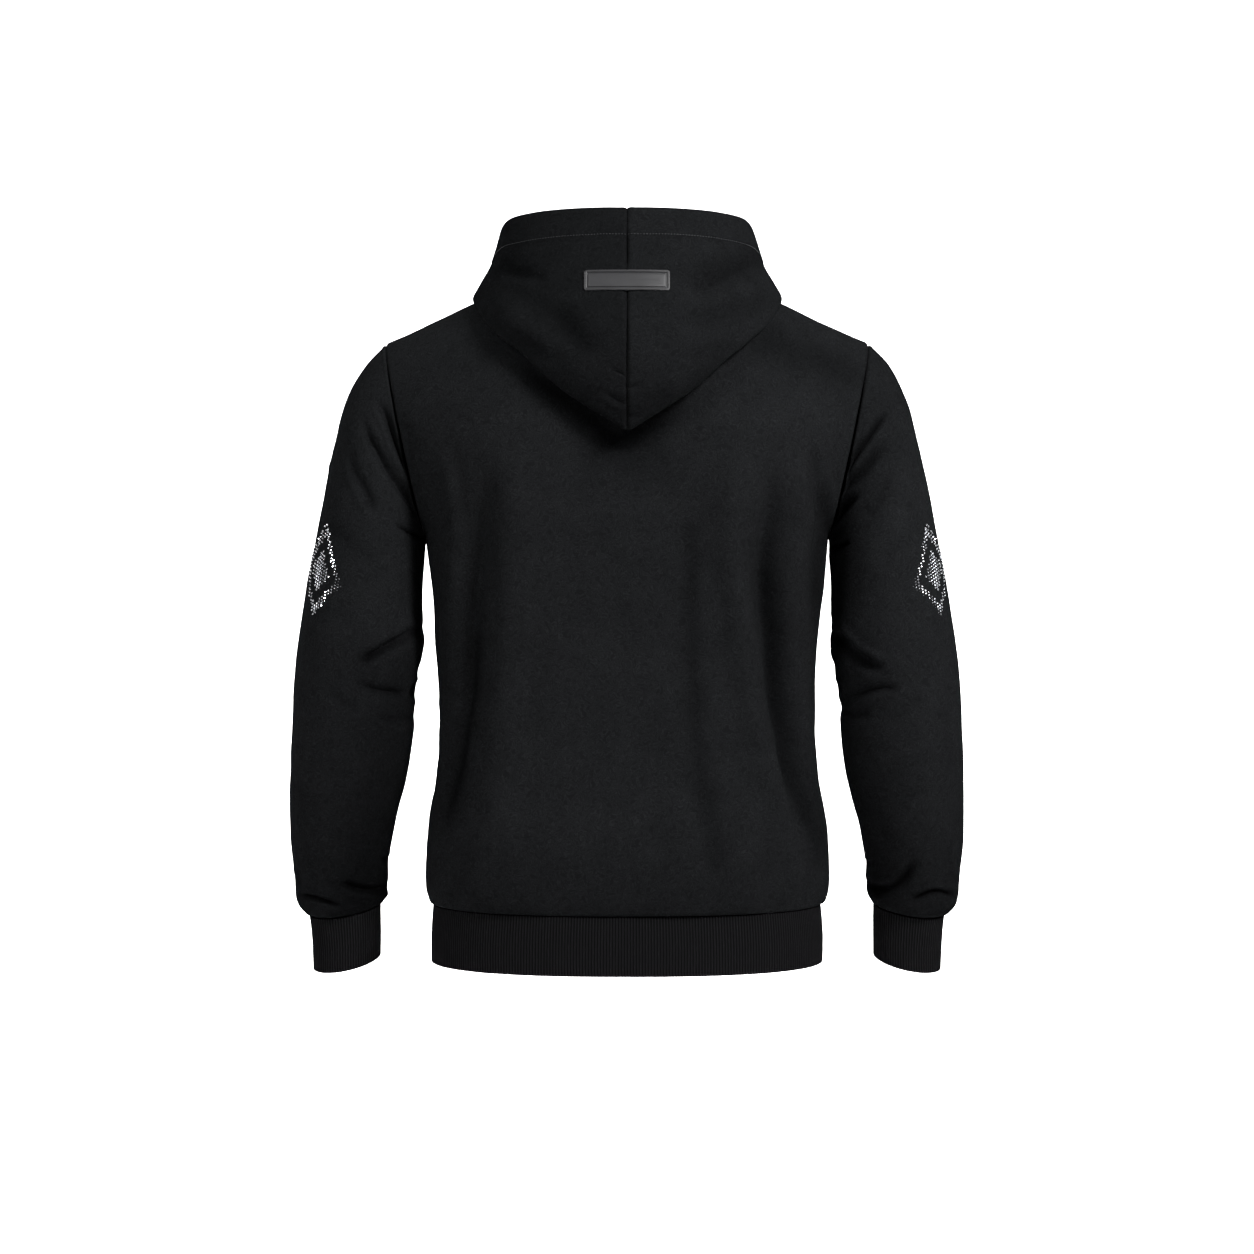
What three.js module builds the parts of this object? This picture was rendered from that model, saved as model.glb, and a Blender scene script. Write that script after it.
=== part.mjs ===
// Pullover hoodie, men's size L, in black brushed-back fleece with ribbed hem and cuffs.
// It is filled out as if worn with the hood down, hollow and with no wearer.
// Millimetres, +Z up, the wearer faces -Y and the wearer's left is +X.
// The origin is the middle of the neck opening, level with the tops of the shoulder seams.
import * as THREE from "three";

// ---- driving sizes ----
const CLOTH = 2.2; // fleece, with its brushed back
const RIB_CLOTH = 2.4; // rib knit, folded double
const SEAM_GAP = 0.3; // between neighbouring pieces
const SEAM_PLANE = -6; // side and shoulder seams lie on this y
const ROUNDNESS = 2.4; // exponent of the body's oval sections

const HEM_SEAM = -627; // where the body meets the ribbed hem
const HEM_EDGE = -684;
const NECK = { halfWidth: 82, back: 72, front: 88, backDrop: 12, frontDrop: 86 };
const SHOULDER = { x: 241, z: -70, fall: 1.08 };
const ARMHOLE = { x: 220.5, lean: 20.5, z: -166, halfHeight: 96, halfDepth: 66 };
const NECK_SHARE = 0.36; // the part of a panel's half width that ends at the neckline
const RIB = { hemCount: 360, cuffCount: 80, height: 0.7 };
const CASING = { width: 25, step: 2, raised: 1.0 }; // turned and stitched edge of the hood
const LABEL = { width: 80, height: 21.5, down: 76, frame: 2.6, thick: 1.3, rim: 0.6 };

// Body sections: half width at the side seam, and how far the back and front panels stand from y = 0.
const BODY = [
  { z: -627, side: 195, back: 116, front: 121 },
  { z: -612, side: 200.5, back: 121, front: 127 },
  { z: -580, side: 200.5, back: 119, front: 127 },
  { z: -545, side: 197.5, back: 115, front: 126 },
  { z: -505, side: 192, back: 111, front: 124 },
  { z: -450, side: 188, back: 108, front: 123 },
  { z: -390, side: 188, back: 109, front: 125 },
  { z: -326, side: 193, back: 114, front: 129 },
  { z: -262, side: 200, back: 119, front: 131 },
  { z: -210, side: 208, back: 121, front: 129 },
  { z: -166, side: 220.5, back: 119, front: 124 },
];

// Sleeve rings from armhole to cuff seam: the outermost and innermost points, the back and front,
// and how much lower the back of the ring is than its middle.
const SLEEVE = [
  { outX: 241, outZ: -70, inX: 200, inZ: -262, back: 60, front: -72, tip: 0 },
  { outX: 262, outZ: -92, inX: 203.5, inZ: -280, back: 64, front: -77, tip: 0 },
  { outX: 279, outZ: -125, inX: 205.5, inZ: -298, back: 67, front: -80, tip: 0 },
  { outX: 291, outZ: -170, inX: 206.5, inZ: -318, back: 69, front: -81, tip: 0 },
  { outX: 303, outZ: -225, inX: 206, inZ: -340, back: 70, front: -80, tip: 0 },
  { outX: 314.5, outZ: -285, inX: 203.5, inZ: -364, back: 71, front: -76, tip: 0 },
  { outX: 323.5, outZ: -340, inX: 208, inZ: -390, back: 70, front: -72, tip: 2 },
  { outX: 331, outZ: -395, inX: 213, inZ: -420, back: 66, front: -72, tip: 4 },
  { outX: 335, outZ: -450, inX: 215, inZ: -458, back: 60, front: -74, tip: 6 },
  { outX: 337.5, outZ: -505, inX: 222, inZ: -502, back: 49, front: -79, tip: 8 },
  { outX: 338, outZ: -560, inX: 235, inZ: -550, back: 36, front: -84, tip: 9 },
  { outX: 335, outZ: -603, inX: 243, inZ: -590, back: 22, front: -86, tip: 7 },
  { outX: 334, outZ: -628, inX: 244, inZ: -619, back: 12, front: -88, tip: 6 },
  { outX: 323, outZ: -642, inX: 251, inZ: -632, back: 0, front: -80, tip: 5 },
];
const CUFF = [
  { outX: 321, outZ: -643, inX: 252.5, inZ: -633, back: -3, front: -75, tip: 5 },
  { outX: 318.5, outZ: -671, inX: 252.5, inZ: -661, back: -9, front: -78, tip: 6 },
  { outX: 318.5, outZ: -699, inX: 253.5, inZ: -687, back: -14, front: -83, tip: 6 },
];

// Hood sections in upright planes round the neck, turned from the centre back to the centre front.
// Each runs from the open rim down the outside to the fold, then up inside to a crest and the neckline.
// A name ending in R is a distance from the neck's axis, and one ending in Z a height.
const HOOD = [
  { turn: 0, rimR: 109, rimZ: 47.5, sideR: 146, sideZ: -50, foldR: 154, foldZ: -168, underR: 127, underZ: -114, crestR: 89, crestZ: 14 },
  { turn: 23, rimR: 115, rimZ: 47.5, sideR: 149, sideZ: -42, foldR: 160, foldZ: -131, underR: 130, underZ: -88, crestR: 91, crestZ: 13 },
  { turn: 46, rimR: 124, rimZ: 47, sideR: 147, sideZ: -20, foldR: 167, foldZ: -79, underR: 134, underZ: -50, crestR: 95, crestZ: 12 },
  { turn: 68, rimR: 126, rimZ: 46, sideR: 139, sideZ: 4, foldR: 158, foldZ: -41, underR: 130, underZ: -20.5, crestR: 97, crestZ: 12 },
  { turn: 90, rimR: 123, rimZ: 37, sideR: 134, sideZ: 9, foldR: 151, foldZ: -21.5, underR: 125, underZ: -8.5, crestR: 98, crestZ: 10 },
  { turn: 112, rimR: 117, rimZ: 20, sideR: 125, sideZ: -2, foldR: 134, foldZ: -25, underR: 116, underZ: -13, crestR: 98, crestZ: 1 },
  { turn: 136, rimR: 108, rimZ: -6, sideR: 115, sideZ: -27, foldR: 121, foldZ: -44, underR: 111, underZ: -38, crestR: 99, crestZ: -22 },
  { turn: 160, rimR: 102, rimZ: -37, sideR: 108, sideZ: -55, foldR: 111, foldZ: -75, underR: 107, underZ: -78, crestR: 101, crestZ: -62 },
  { turn: 180, rimR: 102, rimZ: -54, sideR: 106, sideZ: -66, foldR: 108, foldZ: -80, underR: 106, underZ: -84, crestR: 102, crestZ: -76 },
];

// Folds of the body: across is the share of a panel's half width, + on the wearer's left.
// deep is how far the cloth is pushed in, or out where it is negative. wide is half the fold's width.
const BODY_FOLDS = [
  { panel: "back", across: 0.42, z: -186, toAcross: 0.64, toZ: -421, deep: 9, wide: 26 },
  { panel: "back", across: 0.64, z: -421, toAcross: 0.73, toZ: -560, deep: 7, wide: 24 },
  { panel: "back", across: 0.34, z: -220, toAcross: 0.48, toZ: -560, deep: -4, wide: 24 },
  { panel: "back", across: -0.38, z: -186, toAcross: -0.53, toZ: -421, deep: 9, wide: 26 },
  { panel: "back", across: -0.53, z: -421, toAcross: -0.64, toZ: -560, deep: 7, wide: 24 },
  { panel: "back", across: -0.28, z: -200, toAcross: -0.5, toZ: -560, deep: -4, wide: 20 },
  { panel: "front", across: 0.62, z: -250, toAcross: 0.45, toZ: -520, deep: 7, wide: 30 },
  { panel: "front", across: -0.66, z: -240, toAcross: -0.4, toZ: -560, deep: 8, wide: 32 },
  { panel: "front", across: 0.2, z: -420, toAcross: 0.32, toZ: -620, deep: 5, wide: 34 },
  { panel: "front", across: -0.12, z: -460, toAcross: -0.18, toZ: -620, deep: 4, wide: 36 },
];

// Folds of the left sleeve, mirrored for the right: turn is the angle from the outer line by way of the back,
// and ring counts the rows of SLEEVE.
const SLEEVE_FOLDS = [
  { turn: 62, ring: 0.6, toTurn: 96, toRing: 3.6, deep: 6, wide: 16 },
  { turn: 112, ring: 0.2, toTurn: 140, toRing: 3.2, deep: 7, wide: 15 },
  { turn: 285, ring: 0.4, toTurn: 250, toRing: 3.4, deep: 6, wide: 18 },
  { turn: 170, ring: 5.4, toTurn: 95, toRing: 6.6, deep: 7, wide: 17 },
  { turn: 185, ring: 6.9, toTurn: 240, toRing: 6.1, deep: 7, wide: 16 },
  { turn: 165, ring: 7.2, toTurn: 110, toRing: 7.7, deep: 4, wide: 14 },
  { turn: 40, ring: 11.5, toTurn: 130, toRing: 11.9, deep: 4, wide: 12 },
  { turn: 230, ring: 11.2, toTurn: 320, toRing: 11.7, deep: 4, wide: 12 },
];

// ---- how finely each piece is faceted ----
const GRID = {
  bodyAcross: 22,
  bodyLow: 12,
  quarter: 5, // rows in a quarter of the armhole, which the sleeve's rings share
  sleeveRings: 21,
  hoodRound: 16,
  hoodDown: 17,
  hemInside: 90,
  cuffInside: 16,
};

const rad = THREE.MathUtils.degToRad;
const mix = THREE.MathUtils.lerp;
const vec = (x, y, z) => new THREE.Vector3(x, y, z);
const range = (count) => Array.from({ length: count + 1 }, (_, i) => i);

// A column of a table as a smooth function of another column, or of the row's number.
function column(table, name, by) {
  const at = table.map((row, i) => (by ? row[by] : i));
  const slope = (i) => {
    const a = Math.max(i - 1, 0);
    const b = Math.min(i + 1, table.length - 1);
    return (table[b][name] - table[a][name]) / (at[b] - at[a]);
  };
  return (x) => {
    let i = 0;
    while (i < table.length - 2 && x > at[i + 1]) i++;
    const h = at[i + 1] - at[i];
    const t = THREE.MathUtils.clamp((x - at[i]) / h, 0, 1);
    const s = 1 - t;
    return (
      table[i][name] * s * s * (1 + 2 * t) +
      table[i + 1][name] * t * t * (3 - 2 * t) +
      h * t * s * (slope(i) * s - slope(i + 1) * t)
    );
  };
}

// Every named column of a table, read at one place: { name: value }.
function reader(table, by) {
  const names = Object.keys(table[0]).filter((name) => name !== by);
  const columns = names.map((name) => column(table, name, by));
  return (x) => Object.fromEntries(names.map((name, i) => [name, columns[i](x)]));
}

const bodyAt = reader(BODY, "z");
const sleeveAt = reader(SLEEVE);
const cuffAt = reader(CUFF);
const hoodAt = reader(HOOD, "turn");

// How deep a straight fold is at a point given in flat millimetres.
function foldDepth(x, y, fold) {
  const dx = fold.x1 - fold.x0;
  const dy = fold.y1 - fold.y0;
  const t = ((x - fold.x0) * dx + (y - fold.y0) * dy) / (dx * dx + dy * dy);
  const along = THREE.MathUtils.clamp(t, 0, 1);
  const away = Math.hypot(x - fold.x0 - along * dx, y - fold.y0 - along * dy) / fold.wide;
  const fade = Math.sin(Math.PI * THREE.MathUtils.clamp(0.12 + 0.76 * along, 0, 1));
  return fold.deep * Math.exp(-2 * away * away) * fade;
}

// ---- body ----
const PANEL_HALF_GIRTH = 270; // flat half width of a body panel, for placing its folds

// A panel's outer edge: the side seam for level 0 to 1, then the armhole to its half height at level 2.
// flatZ is the level's height away from the armhole.
function panelEdge(level) {
  const underarm = ARMHOLE.z - ARMHOLE.halfHeight;
  if (level <= 1) {
    const z = mix(HEM_SEAM, underarm, level);
    return { x: bodyAt(z).side, reach: 0, z, flatZ: z };
  }
  const a = rad(90 * (level - 1));
  return {
    x: ARMHOLE.x - ARMHOLE.lean * Math.cos(a),
    reach: ARMHOLE.halfDepth * Math.sin(a),
    z: ARMHOLE.z - ARMHOLE.halfHeight * Math.cos(a),
    flatZ: mix(underarm, ARMHOLE.z, level - 1),
  };
}

// A panel's top edge: half the neckline, then the shoulder seam. reach is the distance from the seam plane.
function panelTop(panel, share) {
  if (share <= NECK_SHARE) {
    const a = rad((90 * share) / NECK_SHARE);
    const back = panel === "back";
    const drop = back ? NECK.backDrop : NECK.frontDrop;
    return {
      x: NECK.halfWidth * Math.sin(a),
      reach: (back ? NECK.back : NECK.front) * Math.cos(a),
      z: -drop * Math.cos(a) ** 2,
      arc: rad(mix(back ? 55 : 38, 90, (share / NECK_SHARE) ** 2)),
    };
  }
  const u = (share - NECK_SHARE) / (1 - NECK_SHARE);
  return {
    x: mix(NECK.halfWidth, SHOULDER.x, u),
    reach: 0,
    z: SHOULDER.z * u ** SHOULDER.fall,
    arc: rad(90),
  };
}

function bodyFold(panel, across, z) {
  return BODY_FOLDS.filter((fold) => fold.panel === panel).reduce(
    (sum, f) =>
      sum +
      foldDepth(across * PANEL_HALF_GIRTH, z, {
        x0: f.across * PANEL_HALF_GIRTH,
        y0: f.z,
        x1: f.toAcross * PANEL_HALF_GIRTH,
        y1: f.toZ,
        deep: f.deep,
        wide: f.wide,
      }),
    0,
  );
}

// A point of a body panel's middle surface: across runs from -1 to 1, and level from 0 at the hem seam to 3 at the top.
function bodyPoint(panel, across, level) {
  const share = Math.abs(across);
  const oval = 2 / ROUNDNESS;
  const edge = panelEdge(Math.min(level, 2));
  let z = mix(edge.flatZ, edge.z, share ** 4);
  const depth = bodyAt(z)[panel] + (panel === "back" ? -SEAM_PLANE : SEAM_PLANE);
  const widest = Math.acos((edge.reach / depth) ** (1 / oval)); // the oval is cut off at the armhole
  let x = edge.x * (Math.sin(widest * share) / Math.sin(widest)) ** oval;
  let reach = depth * Math.max(Math.cos(widest * share), 0) ** oval;
  if (level > 2) {
    const top = panelTop(panel, share);
    const rise = rad(90 * (level - 2));
    const a = rise * (top.arc / rad(90));
    z = mix(z, top.z, Math.sin(a) / Math.sin(top.arc));
    reach = mix(top.reach, reach, (Math.cos(a) - Math.cos(top.arc)) / (1 - Math.cos(top.arc)));
    x = mix(x, top.x, Math.sin(rise));
  }
  const hemmed = THREE.MathUtils.smoothstep(z, HEM_SEAM, HEM_SEAM + 14);
  const out = vec(x / edge.x, 0, 0).setY(reach / depth).normalize();
  const deep = bodyFold(panel, across, z) * hemmed * (1 - share ** 8);
  const sign = panel === "back" ? 1 : -1;
  x -= deep * out.x;
  reach -= deep * out.y;
  return vec(Math.sign(across) * x, SEAM_PLANE + sign * (reach + SEAM_GAP / 2), z);
}

// ---- sleeve and cuff ----
const SLEEVE_GIRTH = 400; // round the upper sleeve, for placing its folds
const RING_STEP = 46; // between rows of SLEEVE

function sleeveFold(turn, ring) {
  return SLEEVE_FOLDS.reduce((sum, f) => {
    const mm = SLEEVE_GIRTH / 360;
    return (
      sum +
      foldDepth(turn * mm, ring * RING_STEP, {
        x0: f.turn * mm,
        y0: f.ring * RING_STEP,
        x1: f.toTurn * mm,
        y1: f.toRing * RING_STEP,
        deep: f.deep,
        wide: f.wide,
      })
    );
  }, 0);
}

// A point on a ring of the left sleeve or cuff: turn 0 is outermost, 90 the back and 180 innermost.
function ringPoint(row, turn, deep = 0) {
  const cos = Math.cos(rad(turn));
  const sin = Math.sin(rad(turn));
  const halfX = (row.outX - row.inX) / 2;
  const halfZ = (row.outZ - row.inZ) / 2;
  const halfY = (row.back - row.front) / 2;
  const grow = 1 - deep / Math.hypot(halfX, halfZ * 0.5, halfY * 0.6);
  return vec(
    (row.outX + row.inX) / 2 + halfX * cos * grow,
    (row.back + row.front) / 2 + halfY * sin * grow,
    (row.outZ + row.inZ) / 2 + halfZ * cos * grow - row.tip * sin,
  );
}

function sleevePoint(turn, ring) {
  const last = SLEEVE.length - 1;
  const ends = THREE.MathUtils.smoothstep(ring, 0, 0.6) * THREE.MathUtils.smoothstep(last - ring, 0, 0.5);
  const point = ringPoint(sleeveAt(ring), turn, sleeveFold(turn, ring) * ends);
  // The first ring stands off the armhole: by a seam at the shoulder, and by the cloth's thickness under the arm.
  const under = (1 - Math.cos(rad(turn))) / 2;
  const near = 1 - THREE.MathUtils.smoothstep(ring, 0, 1.5);
  point.x += near * (SEAM_GAP + 0.5 + under * (CLOTH + 0.2));
  return point;
}

// ---- hood ----
// The neckline at a turn round the neck: distance from the neck's axis and height.
function necklineAt(turn) {
  const back = turn <= 90;
  const a = rad(back ? 90 - turn : turn - 90); // 0 at the side
  const reach = back ? NECK.back : NECK.front;
  // the oval's own angle for that direction
  const t = Math.atan2(Math.sin(a) / reach, Math.cos(a) / NECK.halfWidth);
  const drop = back ? NECK.backDrop : NECK.frontDrop;
  return {
    r: Math.hypot(NECK.halfWidth * Math.cos(t), reach * Math.sin(t)),
    z: -drop * Math.sin(t) ** 2,
  };
}

// The hood's section at a turn, as a curve in its upright plane, from rim to neckline.
function hoodSection(turn) {
  const s = hoodAt(turn);
  const neck = necklineAt(turn);
  const points = [
    vec(s.rimR, s.rimZ, 0),
    vec(s.sideR, s.sideZ, 0),
    vec(s.foldR, s.foldZ, 0),
    vec(s.underR, s.underZ, 0),
    vec(s.crestR, s.crestZ, 0),
    vec(neck.r + 1, neck.z + CLOTH / 2 + SEAM_GAP + 2.4, 0),
  ];
  return new THREE.CatmullRomCurve3(points, false, "centripetal");
}

// A point of the left half of the hood, so far down its section from the rim.
function hoodPoint(section, turn, share) {
  const p = section.getPointAt(THREE.MathUtils.clamp(share, 0, 1));
  const a = rad(turn);
  return vec(p.x * Math.sin(a) + SEAM_GAP / 2, SEAM_PLANE + p.x * Math.cos(a), p.y);
}

// ---- solids ----
// Unit normals of a grid of points, from its rows to its columns by the right hand.
function normals(grid, closed) {
  const rows = grid.length;
  const cols = grid[0].length;
  return grid.map((line, i) =>
    line.map((_, j) => {
      const before = closed ? (j + cols - 1) % cols : Math.max(j - 1, 0);
      const after = closed ? (j + 1) % cols : Math.min(j + 1, cols - 1);
      const along = grid[Math.min(i + 1, rows - 1)][j].clone().sub(grid[Math.max(i - 1, 0)][j]);
      const across = line[after].clone().sub(line[before]);
      return along.cross(across).normalize();
    }),
  );
}

function solid(points, faces) {
  const geometry = new THREE.BufferGeometry();
  geometry.setAttribute("position", new THREE.Float32BufferAttribute(points.flatMap((p) => [p.x, p.y, p.z]), 3));
  geometry.setIndex(faces.flat());
  return geometry;
}

// A wall of cloth round a grid of middle points. trim turns the normals at the edges, and raised(i, j) lifts the outside.
function wall(grid, { closed = false, thick = CLOTH, flip = false, trim = () => {}, raised = () => 0 }) {
  const rows = grid.length;
  const cols = grid[0].length;
  const facing = normals(grid, closed);
  const points = [];
  const put = (i, j, side) => {
    const n = facing[i][j];
    points.push(grid[i][j].clone().addScaledVector(n, side * (thick / 2) + (side > 0 ? raised(i, j) : 0)));
  };
  facing.forEach((line, i) =>
    line.forEach((n, j) => {
      if (flip) n.negate();
      trim(n, i, j);
      n.normalize();
    }),
  );
  [1, -1].forEach((side) => grid.forEach((line, i) => line.forEach((_, j) => put(i, j, side))));
  const at = (i, j, side) => (side > 0 ? 0 : rows * cols) + i * cols + (j % cols);
  const faces = [];
  const quad = (a, b, c, d) => (flip ? faces.push([a, c, b], [a, d, c]) : faces.push([a, b, c], [a, c, d]));
  const spans = closed ? cols : cols - 1;
  for (let i = 0; i < rows - 1; i++) {
    for (let j = 0; j < spans; j++) {
      const out = [at(i, j, 1), at(i + 1, j, 1), at(i + 1, j + 1, 1), at(i, j + 1, 1)];
      const back = [at(i, j, -1), at(i, j + 1, -1), at(i + 1, j + 1, -1), at(i + 1, j, -1)];
      // the two halves of an open wall are split into triangles as mirror images
      if (!closed && j >= spans / 2) [out, back].forEach((corners) => corners.push(corners.shift()));
      quad(...out);
      quad(...back);
    }
  }
  for (let j = 0; j < spans; j++) {
    quad(at(0, j, 1), at(0, j + 1, 1), at(0, j + 1, -1), at(0, j, -1));
    quad(at(rows - 1, j + 1, 1), at(rows - 1, j, 1), at(rows - 1, j, -1), at(rows - 1, j + 1, -1));
  }
  if (!closed) {
    for (let i = 0; i < rows - 1; i++) {
      quad(at(i + 1, 0, 1), at(i, 0, 1), at(i, 0, -1), at(i + 1, 0, -1));
      quad(at(i, cols - 1, 1), at(i + 1, cols - 1, 1), at(i + 1, cols - 1, -1), at(i, cols - 1, -1));
    }
  }
  return solid(points, faces);
}

// A ribbed tube: ringAt(row, turn) is its middle surface. Ribs stand on the outside, and the inside is plain.
function ribbedTube(ringAt, rows, ribs, inside, thick) {
  const ring = (row, turn, side, lift) => {
    const p = ringAt(row, turn);
    const d = ringAt(row, turn + 0.5).sub(ringAt(row, turn - 0.5));
    const out = vec(d.y, -d.x, 0).normalize();
    return p.addScaledVector(out, side * (thick / 2) + lift);
  };
  const outside = ribs * 2;
  const points = [];
  rows.forEach((row) =>
    range(outside - 1).forEach((j) => points.push(ring(row, (360 * j) / outside, 1, j % 2 ? 0 : RIB.height))),
  );
  const innerStart = points.length;
  rows.forEach((row) => range(inside - 1).forEach((j) => points.push(ring(row, (360 * j) / inside, -1, 0))));
  const outer = (i, j) => i * outside + (j % outside);
  const inner = (i, j) => innerStart + i * inside + (j % inside);
  const faces = [];
  for (let i = 0; i < rows.length - 1; i++) {
    for (let j = 0; j < outside; j++) {
      faces.push([outer(i, j), outer(i + 1, j), outer(i + 1, j + 1)], [outer(i, j), outer(i + 1, j + 1), outer(i, j + 1)]);
    }
    for (let j = 0; j < inside; j++) {
      faces.push([inner(i, j), inner(i + 1, j + 1), inner(i + 1, j)], [inner(i, j), inner(i, j + 1), inner(i + 1, j + 1)]);
    }
  }
  const each = outside / inside;
  [0, rows.length - 1].forEach((i) => {
    for (let j = 0; j < outside; j++) {
      const near = Math.floor((j + each / 2) / each);
      const next = Math.floor((j + 1 + each / 2) / each);
      const rim = [[outer(i, j), outer(i, j + 1), inner(i, near)]];
      if (next > near) rim.push([outer(i, j + 1), inner(i, next), inner(i, near)]);
      rim.forEach(([a, b, c]) => faces.push(i ? [a, c, b] : [a, b, c]));
    }
  });
  return solid(points, faces);
}

const FLEECE = new THREE.MeshStandardMaterial({ color: 0x17181a, roughness: 0.92, metalness: 0 });
const RIB_KNIT = new THREE.MeshStandardMaterial({ color: 0x141517, roughness: 0.95, metalness: 0 });
const PATCH = new THREE.MeshStandardMaterial({ color: 0x4b4b4d, roughness: 0.5, metalness: 0.2 });

const hoodie = new THREE.Group();
function add(name, geometry, material) {
  const mesh = new THREE.Mesh(geometry, material);
  mesh.name = name;
  hoodie.add(mesh);
}

// The same solid on the wearer's other side.
function mirrored(geometry) {
  const copy = geometry.clone().scale(-1, 1, 1);
  const index = copy.getIndex().array;
  for (let i = 0; i < index.length; i += 3) [index[i + 1], index[i + 2]] = [index[i + 2], index[i + 1]];
  return copy;
}

function bodyPanel(panel) {
  const side = GRID.bodyAcross / 2;
  const neckSteps = 4;
  const share = (k) =>
    k <= neckSteps ? (NECK_SHARE * k) / neckSteps : mix(NECK_SHARE, 1, (k - neckSteps) / (side - neckSteps));
  const across = range(GRID.bodyAcross).map((j) => Math.sign(j - side) * share(Math.abs(j - side)));
  const levels = [
    ...range(GRID.bodyLow).map((i) => (i / GRID.bodyLow) ** 1.15),
    ...range(2 * GRID.quarter - 1).map((i) => 1 + (i + 1) / GRID.quarter),
  ];
  const grid = levels.map((level) => across.map((a) => bodyPoint(panel, a, level)));
  const last = across.length - 1;
  return wall(grid, {
    flip: panel === "back",
    trim: (n, i, j) => {
      if (i === 0) n.z = 0;
      const onSideSeam = (j === 0 || j === last) && levels[i] <= 1;
      const onShoulderSeam = i === levels.length - 1 && Math.abs(across[j]) >= NECK_SHARE - 1e-6;
      if (onSideSeam || onShoulderSeam) n.y = 0;
    },
  });
}

function sleeve() {
  const around = GRID.quarter * 4;
  const grid = range(GRID.sleeveRings).map((i) => {
    const ring = (SLEEVE.length - 1) * (i / GRID.sleeveRings);
    return range(around - 1).map((j) => sleevePoint((360 * j) / around, ring));
  });
  // both ends of the wall are cut square to the sleeve, to meet the cuff and the armhole
  const end = grid[GRID.sleeveRings];
  const across = end[0].clone().sub(end[around / 2]);
  const axis = across.cross(end[around / 4].clone().sub(end[(3 * around) / 4])).normalize();
  return wall(grid, {
    closed: true,
    trim: (n, i) => i === GRID.sleeveRings && n.addScaledVector(axis, -n.dot(axis)),
  });
}

function cuff() {
  const last = CUFF.length - 1;
  const rows = [0, last / 2, last];
  return ribbedTube((row, turn) => ringPoint(cuffAt(row), turn), rows, RIB.cuffCount, GRID.cuffInside, RIB_CLOTH);
}

function hem() {
  const oval = 2 / ROUNDNESS;
  const power = (v) => Math.sign(v) * Math.abs(v) ** oval;
  const bottom = BODY[0];
  const rows = [
    { z: HEM_SEAM - SEAM_GAP, inset: 3.5 },
    { z: HEM_EDGE, inset: 1.5 },
  ];
  const ringAt = (row, turn) => {
    const sin = power(Math.sin(rad(turn)));
    const cos = power(Math.cos(rad(turn)));
    const depth = sin > 0 ? bottom.back - SEAM_PLANE : bottom.front + SEAM_PLANE;
    return vec((bottom.side - row.inset) * cos, SEAM_PLANE + (depth - row.inset) * sin, row.z);
  };
  return ribbedTube(ringAt, rows, RIB.hemCount, GRID.hemInside, RIB_CLOTH);
}

function hoodHalf() {
  const turns = range(GRID.hoodRound).map((j) => (180 * j) / GRID.hoodRound);
  const sections = turns.map(hoodSection);
  const lengths = sections.map((section) => section.getLength());
  const rest = GRID.hoodDown - 2;
  // rows: the rim, both sides of the casing's step, then even steps down to the neckline
  const down = (i, length) => {
    const casing = Math.min(CASING.width, length * 0.5);
    if (i === 0) return 0;
    if (i === 1) return (casing - CASING.step) / length;
    return mix(casing / length, 1, (i - 2) / rest);
  };
  const grid = range(GRID.hoodDown).map((i) =>
    turns.map((turn, j) => hoodPoint(sections[j], turn, down(i, lengths[j]))),
  );
  const last = turns.length - 1;
  return wall(grid, {
    flip: true, // the casing is raised on the outside
    trim: (n, i, j) => {
      if (j === 0 || j === last) n.x = 0;
    },
    raised: (i) => (i < 2 ? CASING.raised : 0),
  });
}

// The patch over the hood's centre seam, made from the hood's own points and moved out.
function label() {
  const half = LABEL.width / 2;
  const steps = [0, 0.6, LABEL.frame - 0.4, LABEL.frame, 14, 27, half];
  const xs = [...steps.map((s) => half - s), ...steps.slice(0, -1).reverse().map((s) => s - half)];
  const drops = [0, 0.6, LABEL.frame - 0.4, LABEL.frame];
  const edgeDrops = [...drops, LABEL.height / 2, ...drops.slice().reverse().map((d) => LABEL.height - d)];
  const surface = (x, drop) => {
    let turn = 0;
    let p = null;
    for (let k = 0; k < 6; k++) {
      const section = hoodSection(turn);
      p = hoodPoint(section, turn, (LABEL.down + drop - LABEL.height / 2) / section.getLength());
      turn = THREE.MathUtils.radToDeg(Math.asin((Math.abs(x) - SEAM_GAP / 2) / Math.hypot(p.x, p.y - SEAM_PLANE)));
      turn = Math.max(turn, 0);
    }
    return p.setX(x);
  };
  const lift = (i, j) => {
    const onFrame = (k, count) => (k >= 1 && k <= 2) || (k >= count - 3 && k <= count - 2);
    return onFrame(i, edgeDrops.length) || onFrame(j, xs.length) ? LABEL.rim : 0;
  };
  const off = CLOTH / 2 + SEAM_GAP + 0.15 + LABEL.thick / 2;
  const middle = edgeDrops.map((drop) => xs.map((x) => surface(x, drop)));
  const facing = normals(middle, false);
  const grid = middle.map((line, i) => line.map((p, j) => p.clone().addScaledVector(facing[i][j], off)));
  return wall(grid, { thick: LABEL.thick, raised: lift });
}

add("back_panel", bodyPanel("back"), FLEECE);
add("front_panel", bodyPanel("front"), FLEECE);
const leftSleeve = sleeve();
add("sleeve_left", leftSleeve, FLEECE);
add("sleeve_right", mirrored(leftSleeve), FLEECE);
const leftCuff = cuff();
add("cuff_left", leftCuff, RIB_KNIT);
add("cuff_right", mirrored(leftCuff), RIB_KNIT);
add("hem_band", hem(), RIB_KNIT);
const leftHood = hoodHalf();
add("hood_left", leftHood, FLEECE);
add("hood_right", mirrored(leftHood), FLEECE);
add("hood_label", label(), PATCH);

export default hoodie;
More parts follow.
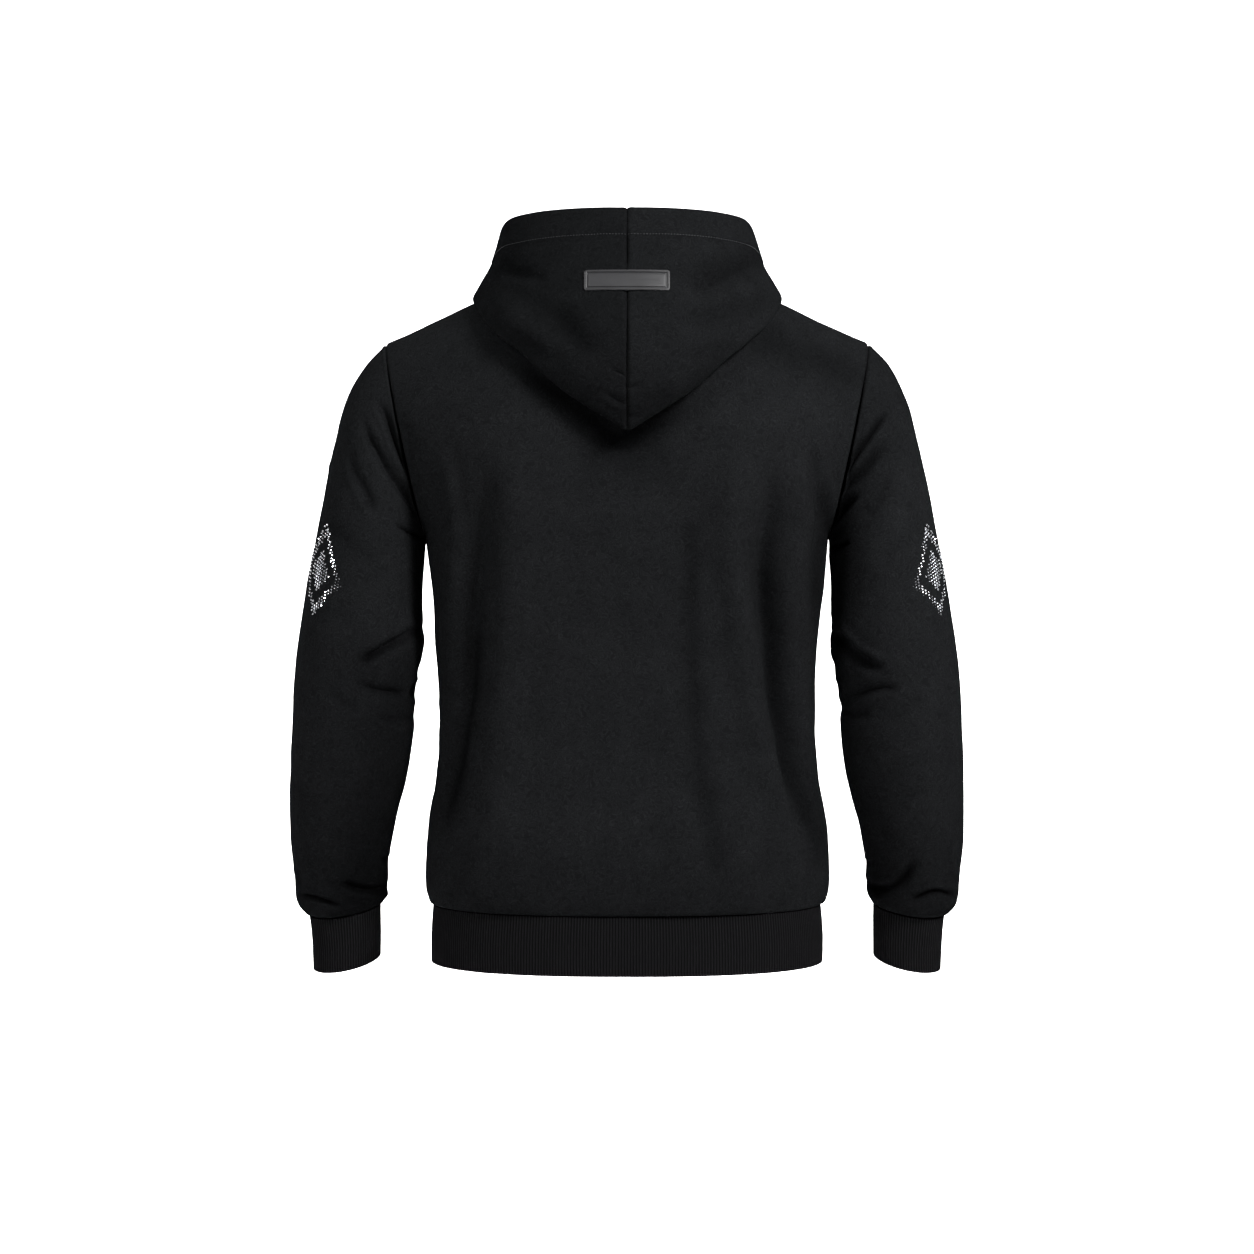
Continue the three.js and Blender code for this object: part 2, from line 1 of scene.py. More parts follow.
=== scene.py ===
"""Pullover hoodie in black brushed fleece, filled out as worn, with its hood folded down."""

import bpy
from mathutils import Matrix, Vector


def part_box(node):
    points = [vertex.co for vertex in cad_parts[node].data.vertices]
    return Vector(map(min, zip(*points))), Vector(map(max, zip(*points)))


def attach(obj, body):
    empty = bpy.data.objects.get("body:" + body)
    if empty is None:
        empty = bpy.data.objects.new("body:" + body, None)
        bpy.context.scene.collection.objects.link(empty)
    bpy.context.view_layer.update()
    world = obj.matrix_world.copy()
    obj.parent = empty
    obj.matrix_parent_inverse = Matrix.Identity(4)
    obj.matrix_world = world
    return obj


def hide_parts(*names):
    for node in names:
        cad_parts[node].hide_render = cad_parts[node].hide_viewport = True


bl_info = {
    "name": "Pullover Hoodie",
    "version": (1, 0, 0),
    "blender": (4, 5, 0),
    "location": "View3D > Sidebar > Hoodie",
    "description": "Makes the cloth, ribs, seams, patch and stones of a pullover hoodie",
    "category": "Object",
}

import math
from collections import namedtuple
from types import SimpleNamespace

import bpy
import numpy as np
from bpy.props import FloatProperty, IntProperty, PointerProperty, StringProperty
from mathutils import Vector

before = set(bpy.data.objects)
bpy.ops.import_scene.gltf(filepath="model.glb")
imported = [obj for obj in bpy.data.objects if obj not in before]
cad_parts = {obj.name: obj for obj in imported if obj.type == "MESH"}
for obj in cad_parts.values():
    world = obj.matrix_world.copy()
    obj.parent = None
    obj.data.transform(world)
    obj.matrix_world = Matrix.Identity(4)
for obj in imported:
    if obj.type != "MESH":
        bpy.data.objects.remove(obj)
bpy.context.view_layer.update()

MM = 0.001

# ---- the garment's sizes, in millimetres ----
SEAM_GAP = 0.3
CLOSE = 0.04  # half of what is left between two pieces sewn together
SEAM_PLANE = -6.0  # side and shoulder seams lie on this y
ROUNDNESS = 2.4  # exponent of the body's oval sections
HEM_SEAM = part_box("back_panel")[0][2] / MM
HEM_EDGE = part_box("hem_band")[0][2] / MM
NECK = SimpleNamespace(half_width=82.0, back=72.0, front=88.0, back_drop=12.0, front_drop=86.0)
SHOULDER = SimpleNamespace(x=241.0, z=-70.0, fall=1.08)
ARMHOLE = SimpleNamespace(x=220.5, lean=20.5, z=-166.0, half_height=96.0, half_depth=66.0)
NECK_SHARE = 0.36  # the part of a panel's half width that ends at the neckline
PANEL_HALF_GIRTH = 270.0
PANEL_LENGTH = 690.0
SLEEVE_GIRTH = 400.0
SLEEVE_LENGTH = 600.0
RING_STEP = 46.0  # along a sleeve, from one row of its table to the next
HOOD_LENGTH = 420.0  # of a half of the hood, both from its rim to the neckline and round the neck
CASING = SimpleNamespace(width=33.0, raised=0.9, stitch_in=3.0)
# down is the middle of the flat place under the patch, which is sewn lower than that and bridges a valley.
LABEL = SimpleNamespace(width=80.0, height=21.5, down=76.0, lower=4.0, corner=2.6, valley=14.0)
RIB = SimpleNamespace(thick=2.4, hem_depth=57.0, cuff_depth=54.0, hem_points=4, cuff_points=6)
BLADES = SimpleNamespace(x=116.0, z=-222.0, half_width=46.0, half_height=58.0, fullness=9.0)
BETWEEN_BLADES = SimpleNamespace(deep=10.0, half_width=118.0)
CURL = SimpleNamespace(out=5.0, under=11.0)  # how the hood's lower edge rolls at the back
STONES = SimpleNamespace(turn=44.0, ring=5.02, ring_length=57.0, girth=0.98, width=62.0, height=96.0, pitch=3.3)

# ---- the stage, in metres ----
CAMERA = SimpleNamespace(place=(0.0, 2.2, -0.352), lens=63.157, sensor=36.0)
# The paper runs from near to far along y, bends up and ends at top.
PAPER = SimpleNamespace(floor=-1.12, near=0.9, far=-2.0, bend=1.2, top=6.0, half_width=7.0)
WORLD_LIGHT = 0.13
GARMENT = (0, 0, -0.3)  # what most of the lights face
Light = namedtuple("Light", "name place target size spread power")
LIGHTS = [
    Light("key", (-1.2, 1.43, 0.87), GARMENT, 0.5, 180, 68.0),
    Light("fill", (1.72, 1.72, 1.1), GARMENT, 0.8, 180, 30.0),
    Light("top", (0.0, 1.4, 2.13), GARMENT, 1.0, 180, 5.0),
    Light("front", (0.0, -2.2, 1.3), GARMENT, 1.4, 180, 80.0),
    Light("side_left", (2.3, -0.5, 0.8), GARMENT, 1.0, 180, 15.0),
    Light("side_right", (-2.3, -0.5, 0.8), GARMENT, 1.0, 180, 8.0),
    Light("backdrop_left", (-2.4, -1.0, 1.6), (-0.7, -3.2, 0.0), 1.6, 100, 82.0),
    Light("backdrop_right", (2.4, -1.0, 1.6), (0.7, -3.2, 0.0), 1.6, 100, 82.0),
    Light("backdrop_low", (0.0, -1.0, 0.9), (0.0, -2.6, -1.1), 1.6, 100, 42.0),
]


class Rows:
    """A short table with named columns, read between its rows as smooth curves."""

    def __init__(self, names, rows, by=None):
        self.names = names.split()
        self.data = np.array(rows, float)
        self.at = self.data[:, self.names.index(by)] if by else np.arange(len(rows), dtype=float)
        slope = np.empty_like(self.data)
        slope[1:-1] = (self.data[2:] - self.data[:-2]) / (self.at[2:] - self.at[:-2])[:, None]
        slope[0] = (self.data[1] - self.data[0]) / (self.at[1] - self.at[0])
        slope[-1] = (self.data[-1] - self.data[-2]) / (self.at[-1] - self.at[-2])
        self.slope = slope

    def __call__(self, x):
        x = np.asarray(x, float)
        i = np.clip(np.searchsorted(self.at, x) - 1, 0, len(self.at) - 2)
        h = self.at[i + 1] - self.at[i]
        t = np.clip((x - self.at[i]) / h, 0, 1)[..., None]
        s = 1 - t
        value = (
            self.data[i] * s * s * (1 + 2 * t)
            + self.data[i + 1] * t * t * (3 - 2 * t)
            + h[..., None] * t * s * (self.slope[i] * s - self.slope[i + 1] * t)
        )
        return SimpleNamespace(**{name: value[..., k] for k, name in enumerate(self.names)})


BODY = Rows(
    "z side back front",
    [
        (-627, 195, 116, 121),
        (-612, 200.5, 121, 127),
        (-580, 200.5, 119, 127),
        (-545, 197.5, 115, 126),
        (-505, 192, 111, 124),
        (-450, 188, 108, 123),
        (-390, 188, 109, 125),
        (-326, 193, 114, 129),
        (-262, 200, 119, 131),
        (-210, 208, 121, 129),
        (-166, 220.5, 119, 124),
    ],
    by="z",
)

SLEEVE = Rows(
    "out_x out_z in_x in_z back front tip",
    [
        (241, -70, 200, -262, 60, -72, 0),
        (262, -92, 203.5, -280, 64, -77, 0),
        (279, -125, 205.5, -298, 67, -80, 0),
        (291, -170, 206.5, -318, 69, -81, 0),
        (303, -225, 206, -340, 70, -80, 0),
        (314.5, -285, 203.5, -364, 71, -76, 0),
        (323.5, -340, 208, -390, 70, -72, 2),
        (331, -395, 213, -420, 66, -72, 4),
        (335, -450, 215, -458, 60, -74, 6),
        (337.5, -505, 222, -502, 49, -79, 8),
        (338, -560, 235, -550, 36, -84, 9),
        (335, -603, 243, -590, 22, -86, 7),
        (334, -628, 244, -619, 12, -88, 6),
        (323, -642, 251, -632, 0, -80, 5),
    ],
)
SLEEVE_END = len(SLEEVE.at) - 1

CUFF = Rows(
    "out_x out_z in_x in_z back front tip",
    [
        (321, -643, 252.5, -633, -3, -75, 5),
        (318.5, -671, 252.5, -661, -9, -78, 6),
        (318.5, -699, 253.5, -687, -14, -83, 6),
    ],
)

# Hood sections in upright planes round the neck, from the centre back to the centre front.
# r is a distance from the neck's axis; each section runs rim, side, fold, under, crest and neckline.
HOOD = Rows(
    "turn rim_r rim_z side_r side_z fold_r fold_z under_r under_z crest_r crest_z",
    [
        (0, 109, 47.5, 146, -50, 154, -168, 127, -114, 89, 14),
        (23, 115, 47.5, 149, -42, 160, -131, 130, -88, 91, 13),
        (46, 124, 47, 147, -20, 167, -79, 134, -50, 95, 12),
        (68, 126, 46, 139, 4, 158, -41, 130, -20.5, 97, 12),
        (90, 123, 37, 134, 9, 151, -21.5, 125, -8.5, 98, 10),
        (112, 117, 20, 125, -2, 134, -25, 116, -13, 98, 1),
        (136, 108, -6, 115, -27, 121, -44, 111, -38, 99, -22),
        (160, 102, -37, 108, -55, 111, -75, 107, -78, 101, -62),
        (180, 102, -54, 106, -66, 108, -80, 106, -84, 102, -76),
    ],
    by="turn",
)

# ---- folds, laid out as seen from behind: x to the wearer's left and z up, in millimetres ----
# deep is how far the cloth goes in along the route. right and left are the fold's half widths on either hand
# of someone who walks along it, and crest is how far the cloth stands out beside it, on the right where it is
# positive and on the left where it is negative. A route with no deep is a ridge.
Fold = namedtuple("Fold", "deep right left crest route")
BACK_FOLDS = [
    Fold(12.0, 18, 23, 0, [(137, -186), (138, -231), (141, -279), (150, -326), (156, -374), (163, -421),
                           (169, -469), (177, -516), (182, -560)]),
    Fold(0, 27, 27, 6.0, [(108, -190), (106, -250), (108, -326), (115, -374), (120, -421), (126, -480),
                          (134, -540), (140, -590)]),
    Fold(19.0, 18, 20, 0, [(-130, -186), (-134, -231), (-135, -279), (-136, -326), (-142, -374),
                           (-152, -421), (-160, -469), (-167, -516), (-175, -560)]),
    Fold(0, 13, 13, 5.0, [(-166, -200), (-167, -240), (-168, -279), (-169, -326), (-172, -374)]),
    Fold(0, 18, 18, 6.0, [(-94, -180), (-97, -231), (-98, -279), (-105, -326), (-110, -374), (-119, -421),
                          (-129, -469), (-142, -516), (-153, -570)]),
    Fold(0, 13, 13, 6.0, [(170, -180), (168, -231), (165, -279), (167, -326), (173, -380)]),
    Fold(2.6, 13, 15, 0, [(170, -165), (163, -210), (162, -250), (166, -300)]),
    Fold(3.2, 6, 8, 0, [(-176, -160), (-180, -205), (-180, -255), (-178, -300)]),
    Fold(2.6, 5, 7, 0, [(214, -152), (208, -176), (205, -198), (204, -226)]),
    Fold(2.6, 7, 5, 0, [(-212, -158), (-206, -178), (-203, -198), (-202, -226)]),
    Fold(1.5, 14, 14, 0, [(-62, -250), (-60, -310), (-63, -372)]),
    Fold(1.7, 15, 15, 0, [(-58, -505), (-72, -555), (-90, -602)]),
    Fold(1.6, 11, 13, 0, [(20, -546), (44, -574), (70, -600)]),
    Fold(1.2, 14, 14, 0, [(84, -470), (96, -510), (104, -540)]),
    Fold(1.0, 20, 20, 0, [(30, -300), (8, -380), (24, -450)]),
    Fold(1.0, 18, 16, 0, [(-18, -420), (-30, -470), (-20, -530)]),
    Fold(1.4, 2.6, 2.6, 0.5, [(177, -596), (177, -612), (176, -630)]),
    Fold(1.6, 2.8, 2.6, -0.6, [(169, -588), (170, -608), (170, -630)]),
    Fold(1.1, 3.4, 3.0, 0, [(160, -594), (162, -612), (163, -630)]),
    Fold(1.0, 3.6, 3.4, 0, [(144, -602), (146, -616), (147, -630)]),
    Fold(2.2, 4.0, 4.0, 0.8, [(-155, -590), (-158, -606), (-161, -624)]),
    Fold(1.9, 3.4, 3.6, -0.7, [(-171, -592), (-173, -608), (-174, -626)]),
    Fold(1.3, 3.0, 3.0, 0, [(-182, -600), (-183, -614), (-183, -630)]),
    Fold(0.9, 4.0, 4.0, 0, [(-132, -606), (-134, -616), (-134, -630)]),
]
FRONT_FOLDS = [
    Fold(8.0, 18, 14, -2.4, [(150, -210), (134, -262), (128, -330), (132, -400), (142, -470), (156, -540),
                             (168, -600)]),
    Fold(7.6, 15, 19, 2.6, [(-146, -206), (-136, -262), (-134, -336), (-140, -410), (-150, -480),
                            (-164, -550), (-174, -604)]),
    Fold(3.4, 20, 24, 0, [(58, -400), (66, -470), (60, -540), (64, -612)]),
    Fold(3.0, 22, 20, 0, [(-40, -430), (-48, -500), (-40, -560), (-46, -616)]),
    Fold(2.2, 26, 26, 0, [(10, -200), (4, -280), (16, -360)]),
    Fold(4.2, 12, 10, 1.4, [(206, -206), (180, -226), (148, -236), (112, -238)]),
    Fold(3.0, 11, 11, 0, [(204, -236), (176, -262), (150, -280)]),
    Fold(4.2, 10, 12, -1.4, [(-206, -204), (-178, -226), (-146, -238), (-108, -242)]),
    Fold(2.8, 11, 11, 0, [(-202, -238), (-172, -266), (-148, -284)]),
    Fold(2.6, 14, 14, 0, [(96, -104), (70, -150), (36, -180)]),
    Fold(2.6, 14, 14, 0, [(-98, -100), (-68, -152), (-30, -184)]),
    Fold(1.6, 3.0, 3.0, 0.6, [(176, -592), (177, -610), (176, -628)]),
    Fold(1.5, 3.4, 3.2, -0.6, [(162, -594), (164, -612), (164, -628)]),
    Fold(1.2, 3.6, 3.6, 0, [(128, -602), (126, -616), (127, -628)]),
    Fold(1.8, 3.6, 3.6, 0.6, [(-160, -592), (-162, -608), (-163, -626)]),
    Fold(1.6, 3.2, 3.2, -0.5, [(-174, -594), (-176, -610), (-176, -628)]),
    Fold(1.1, 4.0, 4.0, 0, [(-104, -604), (-102, -616), (-103, -628)]),
]
# The sleeves' folds are laid out for each side as it would lie on the left.
SLEEVE_BACK_FOLDS = {
    "left": [
        Fold(6.0, 5.5, 6.0, 1.6, [(245, -131), (235.5, -145), (229.6, -160), (223.8, -175.5), (216, -192),
                                  (208, -211), (202, -232), (196, -256)]),
        Fold(5.0, 6.5, 7.5, 0, [(259, -145), (251, -168), (242, -182.5), (232.5, -199), (223, -213),
                                (212, -228), (201, -246)]),
        Fold(2.8, 7.5, 8.0, 0.8, [(271, -172), (266, -199), (258, -213), (250, -228), (241, -247)]),
        Fold(3.0, 3.0, 3.2, 0.8, [(226, -253), (215, -259), (203, -263)]),
        Fold(1.3, 8, 10, 0, [(284, -150), (280, -190), (272, -224)]),
        Fold(1.4, 12, 12, 0, [(292, -250), (268, -276), (236, -290)]),
        Fold(6.0, 6.5, 7.5, 2.2, [(203, -350), (217, -362), (230, -369), (242, -375.5), (252, -381),
                                  (263, -390)]),
        Fold(3.2, 6.0, 6.0, 0, [(262, -407), (244, -413), (230, -416), (217, -420)]),
        Fold(4.5, 3.4, 3.4, 1.6, [(207, -404), (212, -411), (213, -420), (208, -428)]),
        Fold(1.2, 9, 9, 0, [(292, -412), (278, -424), (262, -436)]),
        Fold(1.6, 6, 7, 0, [(208, -440), (226, -444), (244, -440)]),
        Fold(0, 1.8, 1.8, 1.0, [(296, -140), (297, -170), (294, -200)]),
        Fold(4.8, 6.5, 6.5, 1.2, [(282, -603), (273, -610), (262, -614), (250, -616), (236, -612)]),
        Fold(1.6, 7, 7, 0, [(304, -604), (290, -608), (276, -609)]),
        Fold(4.2, 4.4, 4.6, 1.4, [(331, -621), (314.5, -621), (302, -624), (284, -630)]),
        Fold(3.2, 3.0, 3.2, -1.0, [(246, -580), (241, -596), (237, -612)]),
        Fold(2.0, 3.0, 3.0, 0.8, [(331, -590), (328, -600), (326, -612)]),
        Fold(0, 2.4, 2.4, 0.9, [(324, -566), (319, -584), (314, -604)]),
    ],
    "right": [
        Fold(5.4, 4.6, 5.6, 1.0, [(260, -138), (247, -152), (235.5, -167), (226, -180), (216, -195),
                                  (206, -211), (197, -230)]),
        Fold(5.0, 7.5, 8.0, 0, [(252, -170), (237, -191), (226, -204), (213, -215), (202, -222)]),
        Fold(5.6, 5.5, 6.0, 1.4, [(226, -222), (215, -234), (206, -245), (197, -254)]),
        Fold(5.0, 4.5, 5.0, 1.2, [(219, -268), (211, -272), (200, -276)]),
        Fold(1.8, 8, 9, 0, [(256, -206), (243, -232), (229, -247)]),
        Fold(0, 2.0, 2.0, 1.0, [(260, -142), (261, -162), (256, -181), (246, -206)]),
        Fold(1.3, 12, 12, 0, [(294, -244), (270, -272), (238, -292)]),
        Fold(7.0, 7.5, 8.5, 2.4, [(201, -354), (210, -366), (221, -377), (232, -385), (249, -395)]),
        Fold(3.6, 6.0, 6.0, 0, [(216, -424), (233, -416), (248, -412), (264, -413)]),
        Fold(2.6, 5.5, 5.5, 0, [(207, -434), (224, -439), (240, -435)]),
        Fold(4.5, 3.2, 3.2, 1.5, [(206, -404), (211, -412), (211, -421)]),
        Fold(1.1, 9, 9, 0, [(288, -418), (270, -432), (256, -446)]),
        Fold(4.8, 8, 8, 1.2, [(236, -611), (253, -615), (266.5, -610), (277, -598), (286, -580)]),
        Fold(4.0, 4.6, 4.8, 1.3, [(280, -625), (293, -618), (306.5, -614), (319.5, -617), (331, -624)]),
        Fold(2.6, 3.0, 3.0, -0.8, [(247, -582), (242, -598), (238, -610)]),
        Fold(0, 2.4, 2.4, 1.2, [(321, -562), (322.5, -586), (329, -607)]),
    ],
}
SLEEVE_FRONT_FOLDS = [
    Fold(6.0, 7, 8, 1.4, [(246, -140), (230, -176), (216, -214), (206, -252)]),
    Fold(4.4, 8, 8, 0, [(264, -150), (246, -204), (226, -246), (208, -276)]),
    Fold(2.4, 10, 10, 0, [(284, -180), (266, -236), (240, -286)]),
    Fold(7.0, 8, 10, 2.2, [(204, -348), (228, -364), (258, -374), (296, -376)]),
    Fold(6.0, 8, 8, 2.0, [(206, -392), (238, -400), (270, -402), (306, -396)]),
    Fold(5.0, 9, 9, 1.6, [(212, -436), (244, -436), (276, -430), (312, -416)]),
    Fold(2.8, 10, 10, 0, [(240, -334), (272, -346), (312, -346)]),
    Fold(3.0, 12, 12, 0, [(240, -474), (272, -474), (310, -456)]),
    Fold(4.2, 6, 7, 1.2, [(254, -594), (276, -604), (300, -604), (322, -596)]),
    Fold(3.6, 5, 5, 1.2, [(248, -614), (270, -624), (296, -626)]),
    Fold(2.0, 3, 3, 0.8, [(330, -588), (327, -602), (325, -616)]),
]
HOOD_FOLDS = {
    "left": [
        Fold(4.0, 9, 10, 0, [(124, -6), (108, -13), (92, -19), (74, -22)]),
        Fold(4.4, 20, 20, 0, [(128, -26), (97, -45), (65, -70), (39, -88), (16, -106)]),
        Fold(0, 12, 12, 2.0, [(132, -50), (108, -66), (84, -84), (60, -104)]),
        Fold(2.4, 12, 12, 0, [(112, -78), (84, -92), (56, -104)]),
        Fold(2.0, 2.4, 2.4, 0.5, [(16, -113), (7, -115), (-2, -120)]),
        Fold(2.4, 4.0, 4.4, -1.2, [(-1, -145), (11, -140), (22, -132)]),
        Fold(1.4, 6, 6, 0, [(46, -20), (60, -32), (80, -36)]),
    ],
    "right": [
        Fold(5.5, 10, 11, 0, [(124, 0), (112, -10), (98, -20), (76, -34), (58, -44)]),
        Fold(4.2, 13, 13, 0, [(118, -38), (96, -50), (70, -62), (44, -74)]),
        Fold(2.4, 12, 12, 0, [(104, -84), (80, -96), (50, -108)]),
        Fold(0, 2.6, 2.6, 1.8, [(122, -14), (120, -30), (128, -39)]),
        Fold(2.2, 3.6, 4.0, 0.9, [(-1, -128), (6, -128), (15, -125)]),
        Fold(1.6, 3.0, 3.0, 0.8, [(-1, -155), (6, -155), (15, -153)]),
    ],
}
# Painted shade on the fleece, laid out like the folds: deep is the share of its colour that is lost there.
# It darkens the folds' hollows, the right side under the arm, the right shoulder and a band above the hem,
# and a band under the hood's edge stands for the hood's shadow. It is painted on the cloth, and so it stays
# whatever the light.
BACK_PAINTED_SHADE = [
    Fold(0.5, 15, 19, 0, [(-138, -240), (-141, -279), (-146, -326), (-149, -374), (-154, -421),
                          (-162, -469), (-171, -516), (-186, -572), (-190, -600)]),
    Fold(0.5, 13, 14, 0, [(146, -330), (152, -374), (157, -421), (162, -469), (170, -516), (178, -560)]),
    Fold(0.28, 14, 14, 0, [(-62, -240), (-64, -279), (-65, -374), (-71, -469), (-84, -540), (-96, -600)]),
    Fold(0.42, 12, 12, 0, [(-188, -200), (-190, -250), (-184, -300), (-184, -360)]),
    Fold(0.25, 30, 30, 0, [(-40, -180), (6, -190), (50, -186)]),
    Fold(0.7, 14, 14, 0, [(110, -92), (88, -114), (60, -134), (30, -158), (8, -176), (-14, -166),
                          (-40, -150), (-70, -122)]),
    Fold(0.34, 34, 34, 0, [(-110, -64), (-150, -84), (-200, -98), (-250, -118)]),
    Fold(0.22, 60, 60, 0, [(-220, -610), (-80, -606), (80, -606), (220, -610)]),
]
# painted shade along the hood's creases and near its lower point
HOOD_PAINTED_SHADE = {
    "left": [
        Fold(0.22, 16, 16, 0, [(66, -44), (52, -64), (40, -84), (28, -100)]),
        Fold(0.2, 20, 20, 0, [(128, 2), (108, -8), (84, -16)]),
        Fold(0.16, 26, 26, 0, [(50, -128), (18, -146), (-14, -156)]),
    ],
    "right": [
        Fold(0.24, 19, 19, 0, [(150, 20), (124, 8), (98, -6), (74, -20), (50, -34)]),
        Fold(0.16, 18, 18, 0, [(144, -30), (116, -46), (84, -56), (54, -70)]),
        Fold(0.2, 15, 15, 0, [(108, -80), (82, -104), (60, -126), (40, -142)]),
        Fold(0.32, 26, 26, 0, [(50, -128), (18, -146), (-14, -156)]),
    ],
}
# painted shade over each whole half of the hood, more on the left
HOOD_PAINTED_SHADE_ALL_OVER = {"left": 0.32, "right": 0.14}
# painted shade on each sleeve's side next to the body, more on the left, and near the top of the right sleeve
SLEEVE_PAINTED_SHADE = {"left": SimpleNamespace(inner=0.3, top=0.0), "right": SimpleNamespace(inner=0.06, top=0.16)}
SLEEVE_BACK_DEEPER = 1.35
# How far the side seam swings to the back and inwards, as the front wraps round it: wearer's left, then right.
SEAM_SWING = [
    SimpleNamespace(side=1, z=-482.0, reach=44.0, back=13.0, inwards=7.5),
    SimpleNamespace(side=-1, z=-446.0, reach=60.0, back=12.0, inwards=7.0),
]


# ---- form ----
def smooth(a, b, x):
    """From 0 at a to 1 at b, level at both."""
    t = np.clip((np.asarray(x, float) - a) / (b - a), 0, 1)
    return t * t * (3 - 2 * t)


def mix(a, b, t):
    return a + (b - a) * t


def cloth_noise(points, size, seed):
    """Soft unevenness from -1 to 1, the same on every run."""
    p = points / size
    cell = np.floor(p).astype(np.int64)
    f = p - cell
    f = f * f * (3 - 2 * f)
    total = np.zeros(points.shape[:-1])
    for corner in range(8):
        step = np.array([(corner >> k) & 1 for k in range(3)])
        c = cell + step
        key = (c[..., 0] * 73856093) ^ (c[..., 1] * 19349663) ^ (c[..., 2] * 83492791) ^ (seed * 374761393)
        key = (key ^ (key >> 13)) * 1274126177 & 0xFFFFFFFF
        value = ((key ^ (key >> 16)) & 0xFFFF) / 32767.5 - 1
        weight = np.prod(np.where(step == 1, f, 1 - f), axis=-1)
        total += value * weight
    return total


def route_curve(points):
    """A smooth line through a fold's points."""
    p = np.array([2 * np.array(points[0]) - points[1], *points, 2 * np.array(points[-1]) - points[-2]], float)
    t = np.linspace(0, 1, 5, endpoint=False)[:, None]
    line = [
        0.5 * (2 * b + (c - a) * t + (2 * a - 5 * b + 4 * c - d) * t**2 + (3 * b - a - 3 * c + d) * t**3)
        for a, b, c, d in zip(p, p[1:], p[2:], p[3:])
    ]
    return np.vstack(line + [p[-2:-1]])


def fold_field(x, z, folds, factor=1.0):
    """How far in the cloth goes at each x and z."""
    total = np.zeros(np.shape(x))
    for fold in folds:
        line = route_curve(fold.route)
        reach = 2.8 * max(fold.right, fold.left)
        near = (x > line[:, 0].min() - reach) & (x < line[:, 0].max() + reach)
        near &= (z > line[:, 1].min() - reach) & (z < line[:, 1].max() + reach)
        if not near.any():
            continue
        px, pz = x[near], z[near]
        best, side, along = np.full(px.shape, 1e9), np.zeros(px.shape), np.zeros(px.shape)
        for k, d in enumerate(np.diff(line, axis=0)):
            s = np.clip(((px - line[k, 0]) * d[0] + (pz - line[k, 1]) * d[1]) / d.dot(d), 0, 1)
            ox, oz = px - line[k, 0] - s * d[0], pz - line[k, 1] - s * d[1]
            away = np.hypot(ox, oz)
            closer = away < best
            best = np.where(closer, away, best)
            side = np.where(closer, np.sign(d[0] * oz - d[1] * ox), side)
            along = np.where(closer, (k + s) / (len(line) - 1), along)
        wide = np.where(side > 0, fold.right, fold.left)
        fade = smooth(-0.04, 0.24, along) * smooth(1.04, 0.76, along)
        value = fold.deep * np.exp(-2 * (best / wide) ** 2)
        if fold.crest:
            # a route with no depth carries its ridge on itself
            across = side * best * np.sign(fold.crest)
            ridge = (fold.right if fold.crest > 0 else fold.left) if fold.deep else 0
            spread = 0.55 * ridge if fold.deep else fold.right
            value -= abs(fold.crest) * np.exp(-2 * ((across - 1.15 * ridge) / spread) ** 2)
        total[near] += value * fade * factor
    return total


def closer_at_ends(count, length, more=4.0, reach=4.0):
    """Steps from 0 to 1 over a length in millimetres, closer together near both ends."""
    x = np.linspace(0, length, 6001)
    density = 1 + (more - 1) * np.exp(-np.minimum(x, length - x) / reach)
    total = np.concatenate([[0], np.cumsum((density[1:] + density[:-1]) / 2)])
    return np.interp(np.linspace(0, total[-1], count + 1), total, x) / length


def panel_edge(level):
    """A body panel's side: the side seam up to level 1, then the armhole to its middle at level 2."""
    underarm = ARMHOLE.z - ARMHOLE.half_height
    low = mix(HEM_SEAM, underarm, level)
    a = np.radians(90 * np.clip(level - 1, 0, 1))
    below = level <= 1
    return SimpleNamespace(
        x=np.where(below, BODY(low).side, ARMHOLE.x - ARMHOLE.lean * np.cos(a)),
        reach=np.where(below, 0.0, ARMHOLE.half_depth * np.sin(a)),
        z=np.where(below, low, ARMHOLE.z - ARMHOLE.half_height * np.cos(a)),
        flat_z=np.where(below, low, mix(underarm, ARMHOLE.z, level - 1)),
    )


def panel_top(panel, share):
    """A body panel's top: the neckline, and then the shoulder seam."""
    back = panel == "back"
    a = np.radians(90 * np.clip(share / NECK_SHARE, 0, 1))
    u = np.clip((share - NECK_SHARE) / (1 - NECK_SHARE), 0, 1)
    at_neck = share <= NECK_SHARE
    drop = NECK.back_drop if back else NECK.front_drop
    return SimpleNamespace(
        x=np.where(at_neck, NECK.half_width * np.sin(a), mix(NECK.half_width, SHOULDER.x, u)),
        reach=np.where(at_neck, (NECK.back if back else NECK.front) * np.cos(a), 0.0),
        z=np.where(at_neck, -drop * np.cos(a) ** 2, SHOULDER.z * u**SHOULDER.fall),
        arc=np.radians(
            np.where(at_neck, mix(55.0 if back else 38.0, 90.0, np.clip(share / NECK_SHARE, 0, 1) ** 2), 90.0)
        ),
    )


